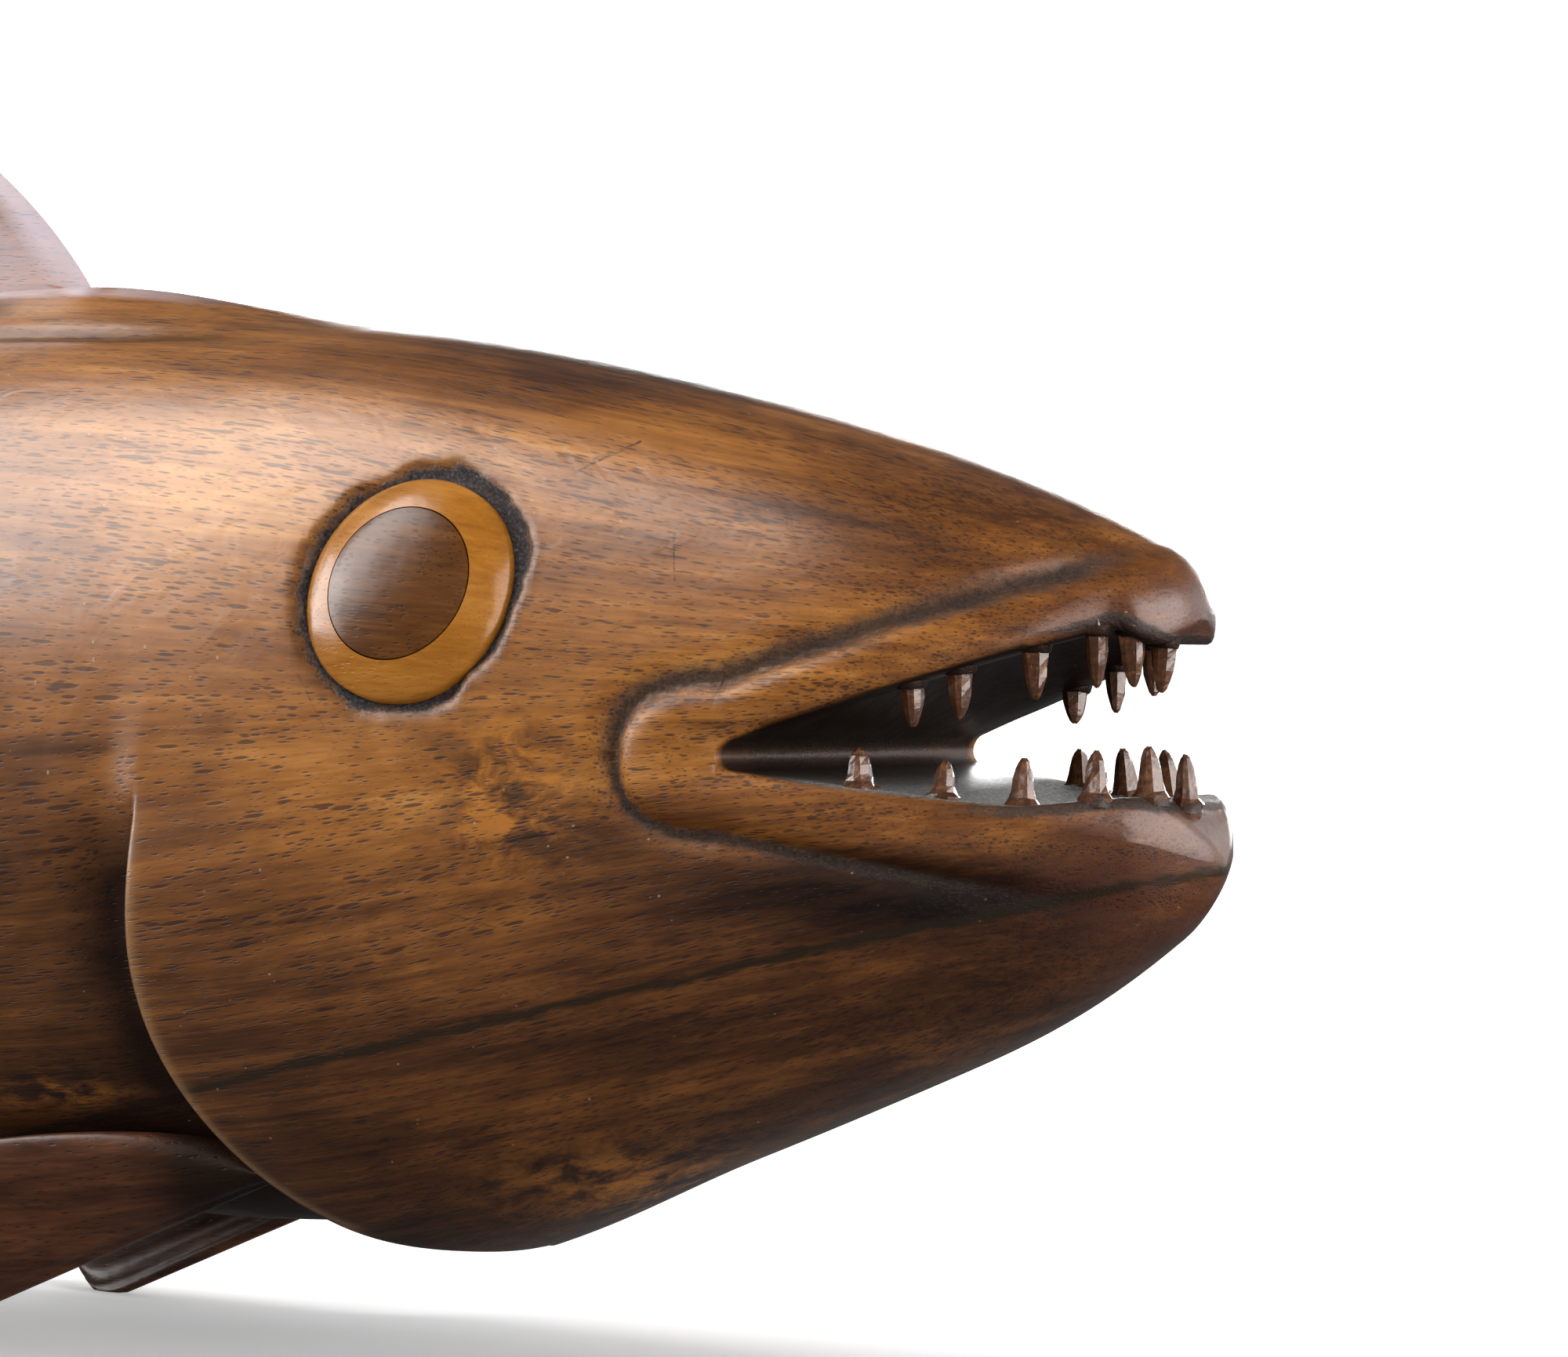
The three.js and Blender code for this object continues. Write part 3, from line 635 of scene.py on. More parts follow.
# An oval turned piece: the outline's shares r of the oval and its heights, carried round
def ovalPiece(side, shares, heights, around=96):
    axes, middle = eyeFrame(side)
    turn = np.linspace(0, 2 * math.pi, around, endpoint=False)[None]
    r = np.array(shares)[:, None]
    local = np.stack([r * eyeSeat["long"] * np.cos(turn), r * eyeSeat["short"] * np.sin(turn),
                      np.array(heights)[:, None] + 0 * turn], -1)
    return local @ axes + middle


def eyePieces(side, sideName):
    pupil = eyeSeat["pupil"]
    depth = -3.4
    outer = np.linspace(1, pupil + 0.012, 16)
    ringShares = np.concatenate([[1], outer, [pupil + 0.012]])
    ringHeights = np.concatenate([[depth], domeHeight(outer), [depth]])
    ringLoops = ovalPiece(side, ringShares, ringHeights)
    numbers = np.arange(ringLoops.shape[0] * ringLoops.shape[1]).reshape(ringLoops.shape[:2])
    faces = [quadsBetween(np.concatenate([numbers, numbers[:1]]))]
    ring = makePiece(sideName + "EyeRing", ringLoops.reshape(-1, 3), faces)
    inner = np.linspace(pupil, 0.03, 20)
    inside = ovalPiece(side, np.concatenate([[pupil], inner]),
                       np.concatenate([[depth], domeHeight(inner) + 0.03 * (inner / pupil < 0.999)]))
    dark = makePiece(sideName + "Pupil", *closedTube(inside))
    return ring, dark


eyes = [eyePieces(-1, "right"), eyePieces(1, "left")]
print("eyes made")

peg = {
    "root": 1.15,
    "depth": 2.6,
    "sides": 8,
    "upper": [[1.12, 0], [1.06, 0.14], [1.02, 0.34], [0.9, 0.55], [0.68, 0.76], [0.43, 0.92], [0.2, 1]],
    "lower": [[1.6, 0], [1.2, 0.12], [1.02, 0.32], [0.88, 0.56], [0.7, 0.78], [0.48, 0.92], [0.2, 1]],
    "inset": 1.35,  # from the inner edge of the lip's rounding
}
# jaw, side, then behind, tall, and for the front ones out and lean
teeth = {
    "upperRightTooth1": ["upper", -1, 2.9, 4.3, 2.4, 0],
    "upperRightTooth2": ["upper", -1, 4.6, 5, 5.6, 2],
    "upperRightTooth3": ["upper", -1, 7, 5],
    "upperRightTooth4": ["upper", -1, 11.9, 4.5],
    "upperRightTooth5": ["upper", -1, 18.1, 4.4],
    "upperRightTooth6": ["upper", -1, 22.3, 3.8],
    "upperLeftTooth1": ["upper", 1, 11.3, 4.5],
    "upperLeftTooth2": ["upper", 1, 17.7, 4.1],
    "upperLeftTooth3": ["upper", 1, 24.2, 3.2],
    "lowerRightTooth1": ["lower", -1, 3, 4.6, 1.8, 0],
    "lowerRightTooth2": ["lower", -1, 4.6, 4.7, 5.6, 2],
    "lowerRightTooth3": ["lower", -1, 8.3, 4.5],
    "lowerRightTooth4": ["lower", -1, 14.1, 4.3],
    "lowerRightTooth5": ["lower", -1, 20.4, 3.4],
    "lowerRightTooth6": ["lower", -1, 27.5, 3.6],
    "lowerLeftTooth1": ["lower", 1, 11.7, 4.7],
    "lowerLeftTooth2": ["lower", 1, 18, 4.5],
    "lowerLeftTooth3": ["lower", 1, 24.5, 3.5],
}


# Where a tooth stands: its axes, the last pointing to its tip, and its foot on the jaw's rim
def toothFrame(jaw, side, behind, tall, out=None, lean=4):
    tip = fishJaws[jaw]
    isUpper = jaw == "upper"
    edge = lips(np.array(behind))[0 if isUpper else 1]
    cornerOut = section(np.array(behind), angleAt(np.array(behind), edge))[0]
    inside = fishMouth["corner"] - behind
    rim = cornerOut - fishMouth["lipInset"] * softStep(0, 7, inside)
    shrink = math.sqrt(1 - (1 - min(behind / tip["tipRound"], 1)) ** 2)
    y = out if out is not None else float((rim - peg["inset"]) * shrink)
    z = tip["tipHeight"] + (float(edge) - tip["tipHeight"]) * shrink
    x = snoutX - behind + tip["reach"] * float(softStep(fishMouth["corner"], 0, behind))
    turn = side * math.radians(lean) * (-1 if isUpper else 1)
    up = np.array([0, -math.sin(turn), math.cos(turn)]) * (-1 if isUpper else 1)
    axes = np.stack([np.array([1, 0, 0]), np.cross(up, [1, 0, 0]), up])
    return axes, np.array([x, side * y, z])


# A whittled peg: a ring of uneven corners at each height, leaning a little more toward the tip
def toothPiece(name, place, rng):
    jaw, tall = place[0], place[3]
    axes, foot = toothFrame(*place)
    outline = np.array([[1, -peg["depth"] / tall]] + peg[jaw])
    sides = peg["sides"]
    turn = (np.arange(sides) + rng.uniform(-0.22, 0.22, sides)) / sides * 2 * math.pi
    corners = rng.uniform(0.84, 1.12, sides)
    wobble = rng.uniform(0.94, 1.06, (len(outline), sides))
    radius = peg["root"] * outline[:, :1] * corners * wobble
    bend = rng.uniform(-0.35, 0.35, 2) * np.clip(outline[:, 1:], 0, 1) ** 1.5
    up = outline[:, 1:] * tall + rng.uniform(-0.09, 0.09, (len(outline), sides)) * (outline[:, 1:] > 0)
    local = np.stack([radius * np.cos(turn) * 0.95 + bend[:, :1], radius * np.sin(turn) + bend[:, 1:],
                      up], -1)
    return makePiece(name, *closedTube(local @ axes + foot), smooth=False)


rng = np.random.default_rng(11)
toothPieces = [toothPiece(name, place, rng) for name, place in teeth.items()]
print("teeth made")

collar = {"outer": 1.45, "inner": 1.12, "rise": 0.24, "around": 20}


# The raised rim of wood round a tooth's hole, a little uneven, as a closed ring of loops
def collarLoops(place, rng):
    axes, foot = toothFrame(*place)
    turn = np.linspace(0, 2 * math.pi, collar["around"], endpoint=False)
    uneven = 0.1 * np.sin(turn * 2 + rng.uniform(0, 6)) + rng.uniform(-0.05, 0.05, len(turn))
    outer = collar["outer"] * (1 + uneven)
    rise = collar["rise"] * (1 + 0.35 * np.sin(turn + rng.uniform(0, 6)))
    inner = collar["inner"] + 0 * turn
    radius = np.stack([outer * 1.12, outer, outer * 0.9, inner * 1.1, inner, inner])
    up = np.stack([0 * turn - 0.8, 0 * turn + 0.05, rise, rise, rise * 0.4, 0 * turn - 0.8])
    local = np.stack([radius * np.cos(turn), radius * np.sin(turn), up], -1)
    return local @ axes + foot


# All collars are apart from each other, so they join the body as one piece
def joinCollars():
    loops = np.stack([collarLoops(place, rng) for place in teeth.values()])
    numbers = np.arange(loops[..., 0].size).reshape(loops.shape[:-1])
    faces = np.concatenate([quadsBetween(np.concatenate([one, one[:1]])) for one in numbers])
    combine(body, [makePiece("collars", loops.reshape(-1, 3), [faces])], "UNION")


joinCollars()
print("collars joined:", len(body.data.polygons), "faces")


# A sum of sine waves in different directions: smooth unevenness from -1 to 1 that repeats each run
def waves(points, length, seed, count=7):
    draws = np.random.default_rng(seed)
    direction = draws.normal(size=(count, 3))
    direction /= np.linalg.norm(direction, axis=1)[:, None]
    turns = points @ direction.T * (2 * math.pi / (length * draws.uniform(0.7, 1.4, count)))
    return np.sin(turns + draws.uniform(0, 2 * math.pi, count)).sum(1) / math.sqrt(count) * 1.2


# Distance in millimetres outside an eye's oval, the angle round it, and the eye's outward axis
def fromEye(points, side):
    axes, middle = eyeFrame(side)
    a, b, c = ((points - middle) @ axes.T).T
    share = np.hypot(a / eyeSeat["long"], b / eyeSeat["short"])
    size = np.hypot(a, b) / np.maximum(share, 1e-6)
    away = (share - 1) * size
    return np.where((np.abs(c) < 9) & (points[:, 1] * side > 0), away, 99), np.arctan2(b, a), axes[2]


# The crevice is widest above and ahead of the eye, and its edge wanders
def creviceWidth(points, turn):
    wide = np.clip(np.cos(turn + 0.1), 0, 1) ** 2
    return 0.8 + 1.0 * wide + waves(points, 5.5, 5) * 0.3 + waves(points, 2.4, 6) * 0.12


# Round each eye the flank drops into an uneven crevice, and under the eye it is cut away
def carveEyes(points):
    for side in (-1, 1):
        away, turn, outward = fromEye(points, side)
        width = creviceWidth(points, turn)
        edge = softStep(width + 0.8, width - 0.9, away)
        depth = eyeSeat["crevice"] * edge + 1.4 * softStep(0.3, -1.5, away)
        points = points - depth[:, None] * outward * (away < 90)[:, None]
    return points


setPoints(body, carveEyes(meshPoints(body)))
body.data.set_sharp_from_angle(angle=math.radians(52))
for piece in fins:
    piece.data.set_sharp_from_angle(angle=math.radians(60))
for ring, dark in eyes:
    ring.data.set_sharp_from_angle(angle=math.radians(50))
    dark.data.set_sharp_from_angle(angle=math.radians(50))
print("eye sockets carved")

# Streaks of the wood, and patches where it is lighter or darker: partly the wood's own tone and partly painted shade,
# as on top of the snout and on the flank behind the gill cover. Places are behind the snout and height.
figure = {
    "streak": {"place": [99.6, 25.5], "rise": 0.223},
    # behind, height, reach along, reach up, how much lighter or darker
    "patches": [
        [4, 70, 9, 9, -0.12], [28, 66, 16, 7, 0.06], [60, 86, 30, 7, 0.10], [100, 84, 20, 20, 0.16],
        [45, 48, 14, 5, -0.16], [22, 46, 16, 4, -0.42], [22, 84, 26, 7, -0.26], [14, 66, 10, 6, -0.12],
        [52, 95, 26, 3.5, -0.2], [70, 14, 22, 8, -0.10], [30, 32, 30, 10, -0.12], [88, 30, 12, 12, -0.05],
        [86, 98, 26, 4, -0.12], [12, 42, 14, 7, -0.18], [78, 52, 16, 9, 0.08], [120, 60, 14, 26, -0.10],
    ],
    # behind, height, reach along, reach up: wet-looking orange and dark flames
    "flames": [[61, 55, 7, 7], [56, 16, 12, 4.5], [118, 24, 10, 1.6]],
}


def setAttribute(piece, name, values, kind="FLOAT"):
    attribute = piece.data.attributes.new(name, kind, "POINT")
    attribute.data.foreach_set("value" if kind == "FLOAT" else "vector", values.ravel())


# The grain runs along the fish: its layers follow the back near the top and tilt up toward the
# snout low on the flank
def setGrain(piece):
    points = meshPoints(piece)
    behind, height = snoutX - points[:, 0], points[:, 2]
    lean = 0.22 - 0.42 * softStep(35, 92, height)
    layer = height + lean * 60 * np.tanh((behind - 50) / 60)
    setAttribute(piece, "grain", np.stack([points[:, 0], layer, points[:, 1]], -1), "FLOAT_VECTOR")
    return points, behind, height


def paintBody():
    points, behind, height = setGrain(body)
    half = np.abs(points[:, 1])
    place = figure["streak"]["place"]
    setAttribute(body, "overStreak", height - place[1] - figure["streak"]["rise"] * (place[0] - behind))
    light = np.zeros(len(points))
    for at, up, along, reach, amount in figure["patches"]:
        light += amount * np.exp(-(((behind - at) / along) ** 2) - ((height - up) / reach) ** 2)
    # lighter toward the top of the fish
    light += 0.2 * softStep(24, 66, height) + 0.08 * softStep(4, 26, height)
    setAttribute(body, "light", light)
    flames = np.zeros(len(points))
    for at, up, along, reach in figure["flames"]:
        flames = np.maximum(flames, np.exp(-(((behind - at) / along) ** 2) - ((height - up) / reach) ** 2))
    setAttribute(body, "flames", flames)
    # A painted sheen on the dorsal fin's face, paler along its bevelled leading edge and less on the line just behind
    # the bevel
    onFin = softStep(103.5, 106, height) * softStep(3.8, 3, half)
    edge = alongCurve(middleFins["firstDorsal"]["lead"], np.linspace(0, 1, 120))
    toEdge = np.full(len(points), 99.0)
    for at, up in edge:
        toEdge = np.minimum(toEdge, np.hypot(behind - at, height - up))
    bevel = softStep(2.3, 1.6, toEdge)
    paintedFinSheen = 0.36 + 0.24 * bevel - 0.34 * np.exp(-(((toEdge - 2.7) / 0.5) ** 2))
    setAttribute(body, "paintedFinSheen", onFin * paintedFinSheen * softStep(162, 147, behind))
    upper, lower, middle, inside = lips(behind)
    rim = section(behind, angleAt(behind, np.where(height > middle, upper, lower)))[0]
    atTip = np.sqrt(1 - (1 - np.clip(behind / 5, 0, 1)) ** 2)
    rim = (rim - np.maximum(rimInset(behind), fishMouth["lipInset"])) * atTip
    bowl = mouthBowl(behind, half / np.maximum(rim, 0.5))
    outward = np.where(height > middle, 1.1, 0.9)
    within = softStep(0.5, -0.4, half - rim - outward) * softStep(-0.6, 0.2, inside) * softStep(1.5, 3.5, behind)
    within = within * np.where(height > middle, height < upper + fishMouth["palateVault"] * bowl + 0.6,
                               height > lower - fishMouth["floorDish"] * bowl - 0.5)
    setAttribute(body, "inMouth", within)
    setAttribute(body, "atTips", softStep(15, 4, behind) * softStep(80, 72, height))
    # Painted dark along the lips: dirt on top of the lower lip, and painted shade on the underside of the upper lip's
    # tip
    overLip = softStep(-1.7, -0.8, height - lower) * softStep(24, 9, behind) * (height < middle)
    underLip = softStep(2.4, 1.2, height - upper) * softStep(16, 6, behind) * (height >= middle)
    setAttribute(body, "lipDirtAndShade", (overLip + underLip) * (1 - within))
    setAttribute(body, "mouthFloor", within * (height < middle) * softStep(2, 13, inside))
    share, beyond, above = lipDistance(behind, height)
    grooveHalf = 1.0 + 0.9 * softStep(-4, 4, height - middle)
    setAttribute(body, "pastGroove", np.clip((beyond - 0.1) / grooveHalf, -4, 4))
    setAttribute(body, "grooveShown", bandFade(behind, above) * (1 - within) * (behind < 60))
    angle = angleAt(behind, np.clip(height, 12, 100))
    ahead = gillAhead(behind, np.degrees(angle))
    shown = softStep(*gillCover["fade"], np.degrees(angle))
    behindCover = shown * softStep(-12, -1, ahead) ** 1.5 * softStep(0.5, -0.2, ahead)
    shadow = 0.8 * behindCover + 0.4 * shown * softStep(-34, -4, ahead) * (ahead < 0)
    shadow = shadow + 0.8 * np.exp(-(((behind - 112) / 15) ** 2) - ((height - 21) / 6) ** 2) * (ahead < 0)
    hollow = np.exp(-(((behind - 143) / 5) ** 2) - ((height - 104) / 1.7) ** 2) * (half < 7)
    shadow = np.maximum(shadow, 0.9 * hollow)
    groove = np.exp(-(((half - 9.4) / 1.3) ** 2)) * softStep(100, 116, behind) * softStep(150, 138, behind)
    shadow = np.maximum(shadow * (1 - 0.6 * flames), 0.75 * groove * (height > 97))
    throat = softStep(26, 17, height) * softStep(-0.5, -5, ahead) * softStep(150, 120, behind)
    shadow = np.maximum(shadow, 0.9 * throat)
    setAttribute(body, "rimLight", shown * np.exp(-(((ahead - 0.7) / 0.9) ** 2)))
    past = 10
    for side in (-1, 1):
        outside, turn, _ = fromEye(points, side)
        past = np.minimum(past, outside - creviceWidth(points, turn))
    setAttribute(body, "pastCrevice", past)
    setAttribute(body, "shadow", np.clip(shadow, 0, 0.92))


paintBody()
for piece in fins + [one for pair in eyes for one in pair] + toothPieces:
    points, behind, height = setGrain(piece)
    if piece in fins:
        setAttribute(piece, "rootShade", softStep(114, 105, behind))
print("wood laid out")


# A node with its settings and inputs given: another node's socket is linked to an input, and
# anything else becomes the input's own value
def addNode(tree, kind, settings=(), **inputs):
    node = tree.nodes.new("ShaderNode" + kind)
    for name, value in dict(settings).items():
        setattr(node, name, value)
    for name, value in inputs.items():
        key = int(name[1:]) if name[0] == "_" else name.replace("0", " ")
        socket = node.inputs[key]
        if isinstance(value, bpy.types.NodeSocket):
            tree.links.new(value, socket)
        else:
            socket.default_value = value
    return node


# Makes the nodes of one material, each helper giving back a socket
class Recipe:
    def __init__(self, name):
        self.material = bpy.data.materials.new(name)
        self.material.use_nodes = True
        self.tree = self.material.node_tree
        self.tree.nodes.clear()

    def attribute(self, name):
        node = addNode(self.tree, "Attribute", {"attribute_name": name})
        return node

    def math(self, operation, a, b=0.0, c=0.0, clamp=False):
        return addNode(self.tree, "Math", {"operation": operation, "use_clamp": clamp},
                       _0=a, _1=b, _2=c).outputs[0]

    def scaled(self, vector, by):
        return addNode(self.tree, "VectorMath", {"operation": "MULTIPLY"}, _0=vector, _1=by).outputs[0]

    def noise(self, vector, size=1.0, detail=2.0, rough=0.5, twist=0.0):
        return addNode(self.tree, "TexNoise", {"noise_dimensions": "3D"}, Vector=vector, Scale=1 / size,
                       Detail=detail, Roughness=rough, Distortion=twist).outputs["Fac"]

    def spots(self, vector, size=1.0):
        return addNode(self.tree, "TexVoronoi", Vector=vector, Scale=1 / size).outputs["Distance"]

    def between(self, value, low, high, fromLow=0.0, toHigh=1.0):
        return addNode(self.tree, "MapRange", {"interpolation_type": "SMOOTHSTEP"}, Value=value,
                       From0Min=low, From0Max=high, To0Min=fromLow, To0Max=toHigh).outputs[0]

    def ramp(self, value, stops):
        node = addNode(self.tree, "ValToRGB", Fac=value)
        elements = node.color_ramp.elements
        while len(elements) < len(stops):
            elements.new(0.5)
        for element, (place, colour) in zip(elements, stops):
            element.position = place
            element.color = (*colour, 1)
        return node.outputs[0]

    def mix(self, share, a, b, blend="MIX"):
        node = self.tree.nodes.new("ShaderNodeMix")
        node.data_type = "RGBA"
        node.blend_type = blend
        for socket, value in ((node.inputs[0], share), (node.inputs[6], a), (node.inputs[7], b)):
            if isinstance(value, bpy.types.NodeSocket):
                self.tree.links.new(value, socket)
            else:
                socket.default_value = value if isinstance(value, float) else (*value, 1)
        return node.outputs[2]

    # Darkness of straight strokes: each fades out from the nearest place on its line, and the
    # nearest place is the projection on the line, kept between its ends
    def strokes(self, rows):
        total = 0.0
        place = addNode(self.tree, "TexCoord").outputs["Object"]
        flat = self.scaled(place, (-1000.0, 0.0, 1000.0))
        for behindA, heightA, behindB, heightB, width, strength in rows:
            along = np.array([behindB - behindA, 0, heightB - heightA])
            toPlace = addNode(self.tree, "VectorMath", {"operation": "SUBTRACT"}, _0=flat,
                              _1=(behindA - snoutX, 0, heightA)).outputs[0]
            dot = addNode(self.tree, "VectorMath", {"operation": "DOT_PRODUCT"}, _0=toPlace,
                          _1=tuple(along / (along @ along))).outputs["Value"]
            share = self.math("MULTIPLY", dot, 1.0, clamp=True)
            nearest = addNode(self.tree, "VectorMath", {"operation": "SCALE"}, _0=tuple(along), Scale=share).outputs[0]
            away = addNode(self.tree, "VectorMath", {"operation": "DISTANCE"}, _0=toPlace, _1=nearest).outputs["Value"]
            mark = self.between(away, width, width * 0.3, 0.0, strength)
            total = mark if isinstance(total, float) else self.math("MAXIMUM", total, mark)
        return total

    def bump(self, height, distance, strength=1.0, normal=None):
        node = addNode(self.tree, "Bump", Height=height, Distance=distance, Strength=strength)
        if normal is not None:
            self.tree.links.new(normal, node.inputs["Normal"])
        return node.outputs[0]

    def surface(self, colour, roughness, normal, values):
        node = self.tree.nodes.new("ShaderNodeBsdfPrincipled")
        for socket, value in (("Base Color", colour), ("Roughness", roughness), ("Normal", normal)):
            if isinstance(value, bpy.types.NodeSocket):
                self.tree.links.new(value, node.inputs[socket])
            else:
                node.inputs[socket].default_value = value
        for socket, value in values.items():
            if isinstance(value, bpy.types.NodeSocket):
                self.tree.links.new(value, node.inputs[socket])
            else:
                node.inputs[socket].default_value = value
        output = self.tree.nodes.new("ShaderNodeOutputMaterial")
        self.tree.links.new(node.outputs[0], output.inputs[0])
        return self.material


varnish = {"Coat Weight": 0.85, "Coat Roughness": 0.3, "Specular IOR Level": 0.1, "Coat IOR": 1.33}
bodyWood = {
    "stops": [
        (0.0, (0.005, 0.002, 0.001)), (0.2, (0.017, 0.0052, 0.0016)), (0.4, (0.047, 0.015, 0.0032)),
        (0.58, (0.108, 0.036, 0.0060)), (0.76, (0.20, 0.074, 0.0125)), (1.0, (0.35, 0.155, 0.036)),
    ],
    "base": 0.40,
    "layers": 0.6,
    "bands": 0.48,
    "blotches": 0.36,
    "tips": (0.045, 0.015, 0.009),
    "fibres": 0.3,
}
# dark scratches: behind and height of both ends, half width, strength
scratches = [
    [58.8, 85.3, 53.9, 88.2, 0.22, 0.85], [57.5, 86.6, 55.2, 87.4, 0.35, 0.6], [46.6, 79.3, 45.4, 74.9, 0.16, 0.7],
    [11.2, 41.5, 8.5, 38.0, 0.12, 0.6], [50.5, 83.0, 49.0, 80.5, 0.14, 0.5], [84.0, 66.0, 80.5, 60.5, 0.12, 0.4],
    [70.0, 44.0, 63.0, 42.2, 0.12, 0.4], [33.0, 84.5, 27.5, 82.4, 0.12, 0.5],
]


def carvedWood():
    make = Recipe("varnishedCarving")
    grain = make.attribute("grain").outputs["Vector"]
    light = make.attribute("light").outputs["Fac"]
    overStreak = make.attribute("overStreak").outputs["Fac"]
    inMouth = make.attribute("inMouth").outputs["Fac"]
    shadow = make.attribute("shadow").outputs["Fac"]
    mouthFloor = make.attribute("mouthFloor").outputs["Fac"]
    rimLight = make.attribute("rimLight").outputs["Fac"]

    # the crevices round the eyes and the groove along the lips, painted dark as shade with specks of dust, and a
    # softer painted shade round the eye crevices, all with edges that wander
    wander = make.noise(grain, 1.3, 4, 0.7)
    past = make.math("MULTIPLY_ADD", wander, 2.0, make.attribute("pastCrevice").outputs["Fac"])
    crevice = make.between(past, 1.5, 0.7)
    shadeRoundEye = make.between(past, 3.6, 0.9)
    past = make.math("MULTIPLY_ADD", wander, 1.0, make.attribute("pastGroove").outputs["Fac"])
    groove = make.between(make.math("ABSOLUTE", make.math("ADD", past, -0.5)), 1.1, 0.1)
    groove = make.math("MULTIPLY", groove, make.attribute("grooveShown").outputs["Fac"])

    layers = make.noise(make.scaled(grain, (1 / 60, 1 / 5, 1 / 9)), 1, 5, 0.55, 0.4)
    bands = make.noise(make.scaled(grain, (1 / 45, 1 / 1.1, 1 / 2.2)), 1, 4, 0.6, 0.3)
    blotches = make.noise(make.scaled(grain, (1 / 16, 1 / 9, 1 / 9)), 1, 4, 0.6, 0.8)
    tone = make.math("MULTIPLY_ADD", layers, bodyWood["layers"], bodyWood["base"] - 0.5 * bodyWood["layers"])
    tone = make.math("MULTIPLY_ADD", bands, bodyWood["bands"], make.math("ADD", tone, -0.5 * bodyWood["bands"]))
    tone = make.math("MULTIPLY_ADD", blotches, bodyWood["blotches"],
                     make.math("ADD", tone, -0.5 * bodyWood["blotches"]))
    fibres = make.noise(make.scaled(grain, (1 / 9, 1 / 0.3, 1 / 0.6)), 1, 3, 0.6)
    tone = make.math("MULTIPLY_ADD", fibres, bodyWood["fibres"],
                     make.math("ADD", tone, -0.5 * bodyWood["fibres"]))
    tone = make.math("ADD", tone, light)
    colour = make.ramp(tone, bodyWood["stops"])
    atTips = make.attribute("atTips").outputs["Fac"]
    stained = make.math("MULTIPLY", atTips, make.between(blotches, 0.3, 0.7, 0.85, 0.45))
    colour = make.mix(stained, colour, bodyWood["tips"])

    # flames of orange and near black that lie across the grain
    flames = make.attribute("flames").outputs["Fac"]
    tongues = make.noise(make.scaled(grain, (1 / 4.5, 1 / 2.4, 1 / 3)), 1, 5, 0.65, 0.5)
    flameColour = make.ramp(tongues, [(0.40, (0.012, 0.005, 0.003)), (0.5, (0.15, 0.050, 0.006)),
                                      (0.6, (0.30, 0.108, 0.012))])
    colour = make.mix(make.math("MULTIPLY", flames, 0.85), colour, flameColour)

    # the long streak, ragged along its edges, spreads into a wedge toward the snout
    ragged = make.noise(make.scaled(grain, (1 / 5, 1 / 0.9, 1 / 2)), 1, 5, 0.7)
    streakOff = make.math("ABSOLUTE", make.math("MULTIPLY_ADD", ragged, 2.0, make.math("ADD", overStreak, -1.0)))
    streak = make.between(streakOff, 0.8, 0.15)
    colour = make.mix(make.math("MULTIPLY", streak, 0.82), colour, (0.010, 0.007, 0.003))

    # open vessels: short dark dashes along the grain, in places more than others
    dense = make.noise(make.scaled(grain, (1 / 20, 1 / 3, 1 / 6)), 1, 2, 0.5)
    fine = make.spots(make.scaled(grain, (1 / 3.0, 1 / 0.3, 1 / 0.3)))
    long = make.spots(make.scaled(grain, (1 / 8.0, 1 / 0.62, 1 / 0.62)))
    short = make.spots(make.scaled(grain, (1 / 1.5, 1 / 0.22, 1 / 0.22)))
    fineDash = make.between(make.math("MULTIPLY_ADD", dense, -0.46, fine), 0.09, -0.07)
    longDash = make.between(make.math("MULTIPLY_ADD", dense, -0.46, long), 0.02, -0.09)
    shortDash = make.between(make.math("MULTIPLY_ADD", dense, -0.45, short), 0.08, -0.1, 0.0, 0.6)
    vessels = make.math("MAXIMUM", make.math("MAXIMUM", fineDash, longDash), shortDash)
    colour = make.mix(make.math("MULTIPLY", vessels, 0.68), colour, (0.014, 0.005, 0.004))

    broken = make.noise(grain, 0.9, 3, 0.7)
    cuts = make.math("MULTIPLY", make.strokes(scratches), make.between(broken, 0.38, 0.6, 0.15, 1.0))
    colour = make.mix(cuts, colour, (0.006, 0.004, 0.004))

    # painted shade with dirt and dust in the lip groove and along the lips, painted shade inside the mouth, dust on
    # the floor of the mouth, painted shade with dust round and in the eye crevices, a painted highlight along the gill
    # cover's rim, painted shadow, pale specks of dust and a painted sheen on the dorsal fin
    speckle = make.noise(grain, 0.35, 5, 0.7)
    smears = make.noise(make.scaled(grain, (1 / 14, 1 / 7, 1 / 7)), 1, 3, 0.6)
    dirtAndShadeColour = make.ramp(speckle, [(0.35, (0.010, 0.007, 0.006)), (0.6, (0.030, 0.022, 0.018)),
                                     (0.78, (0.09, 0.075, 0.065))])
    colour = make.mix(make.math("MULTIPLY", groove, 0.88), colour, dirtAndShadeColour)
    dustColour = make.ramp(speckle, [(0.3, (0.05, 0.046, 0.041)), (0.5, (0.14, 0.135, 0.125)),
                                     (0.68, (0.36, 0.36, 0.34))])
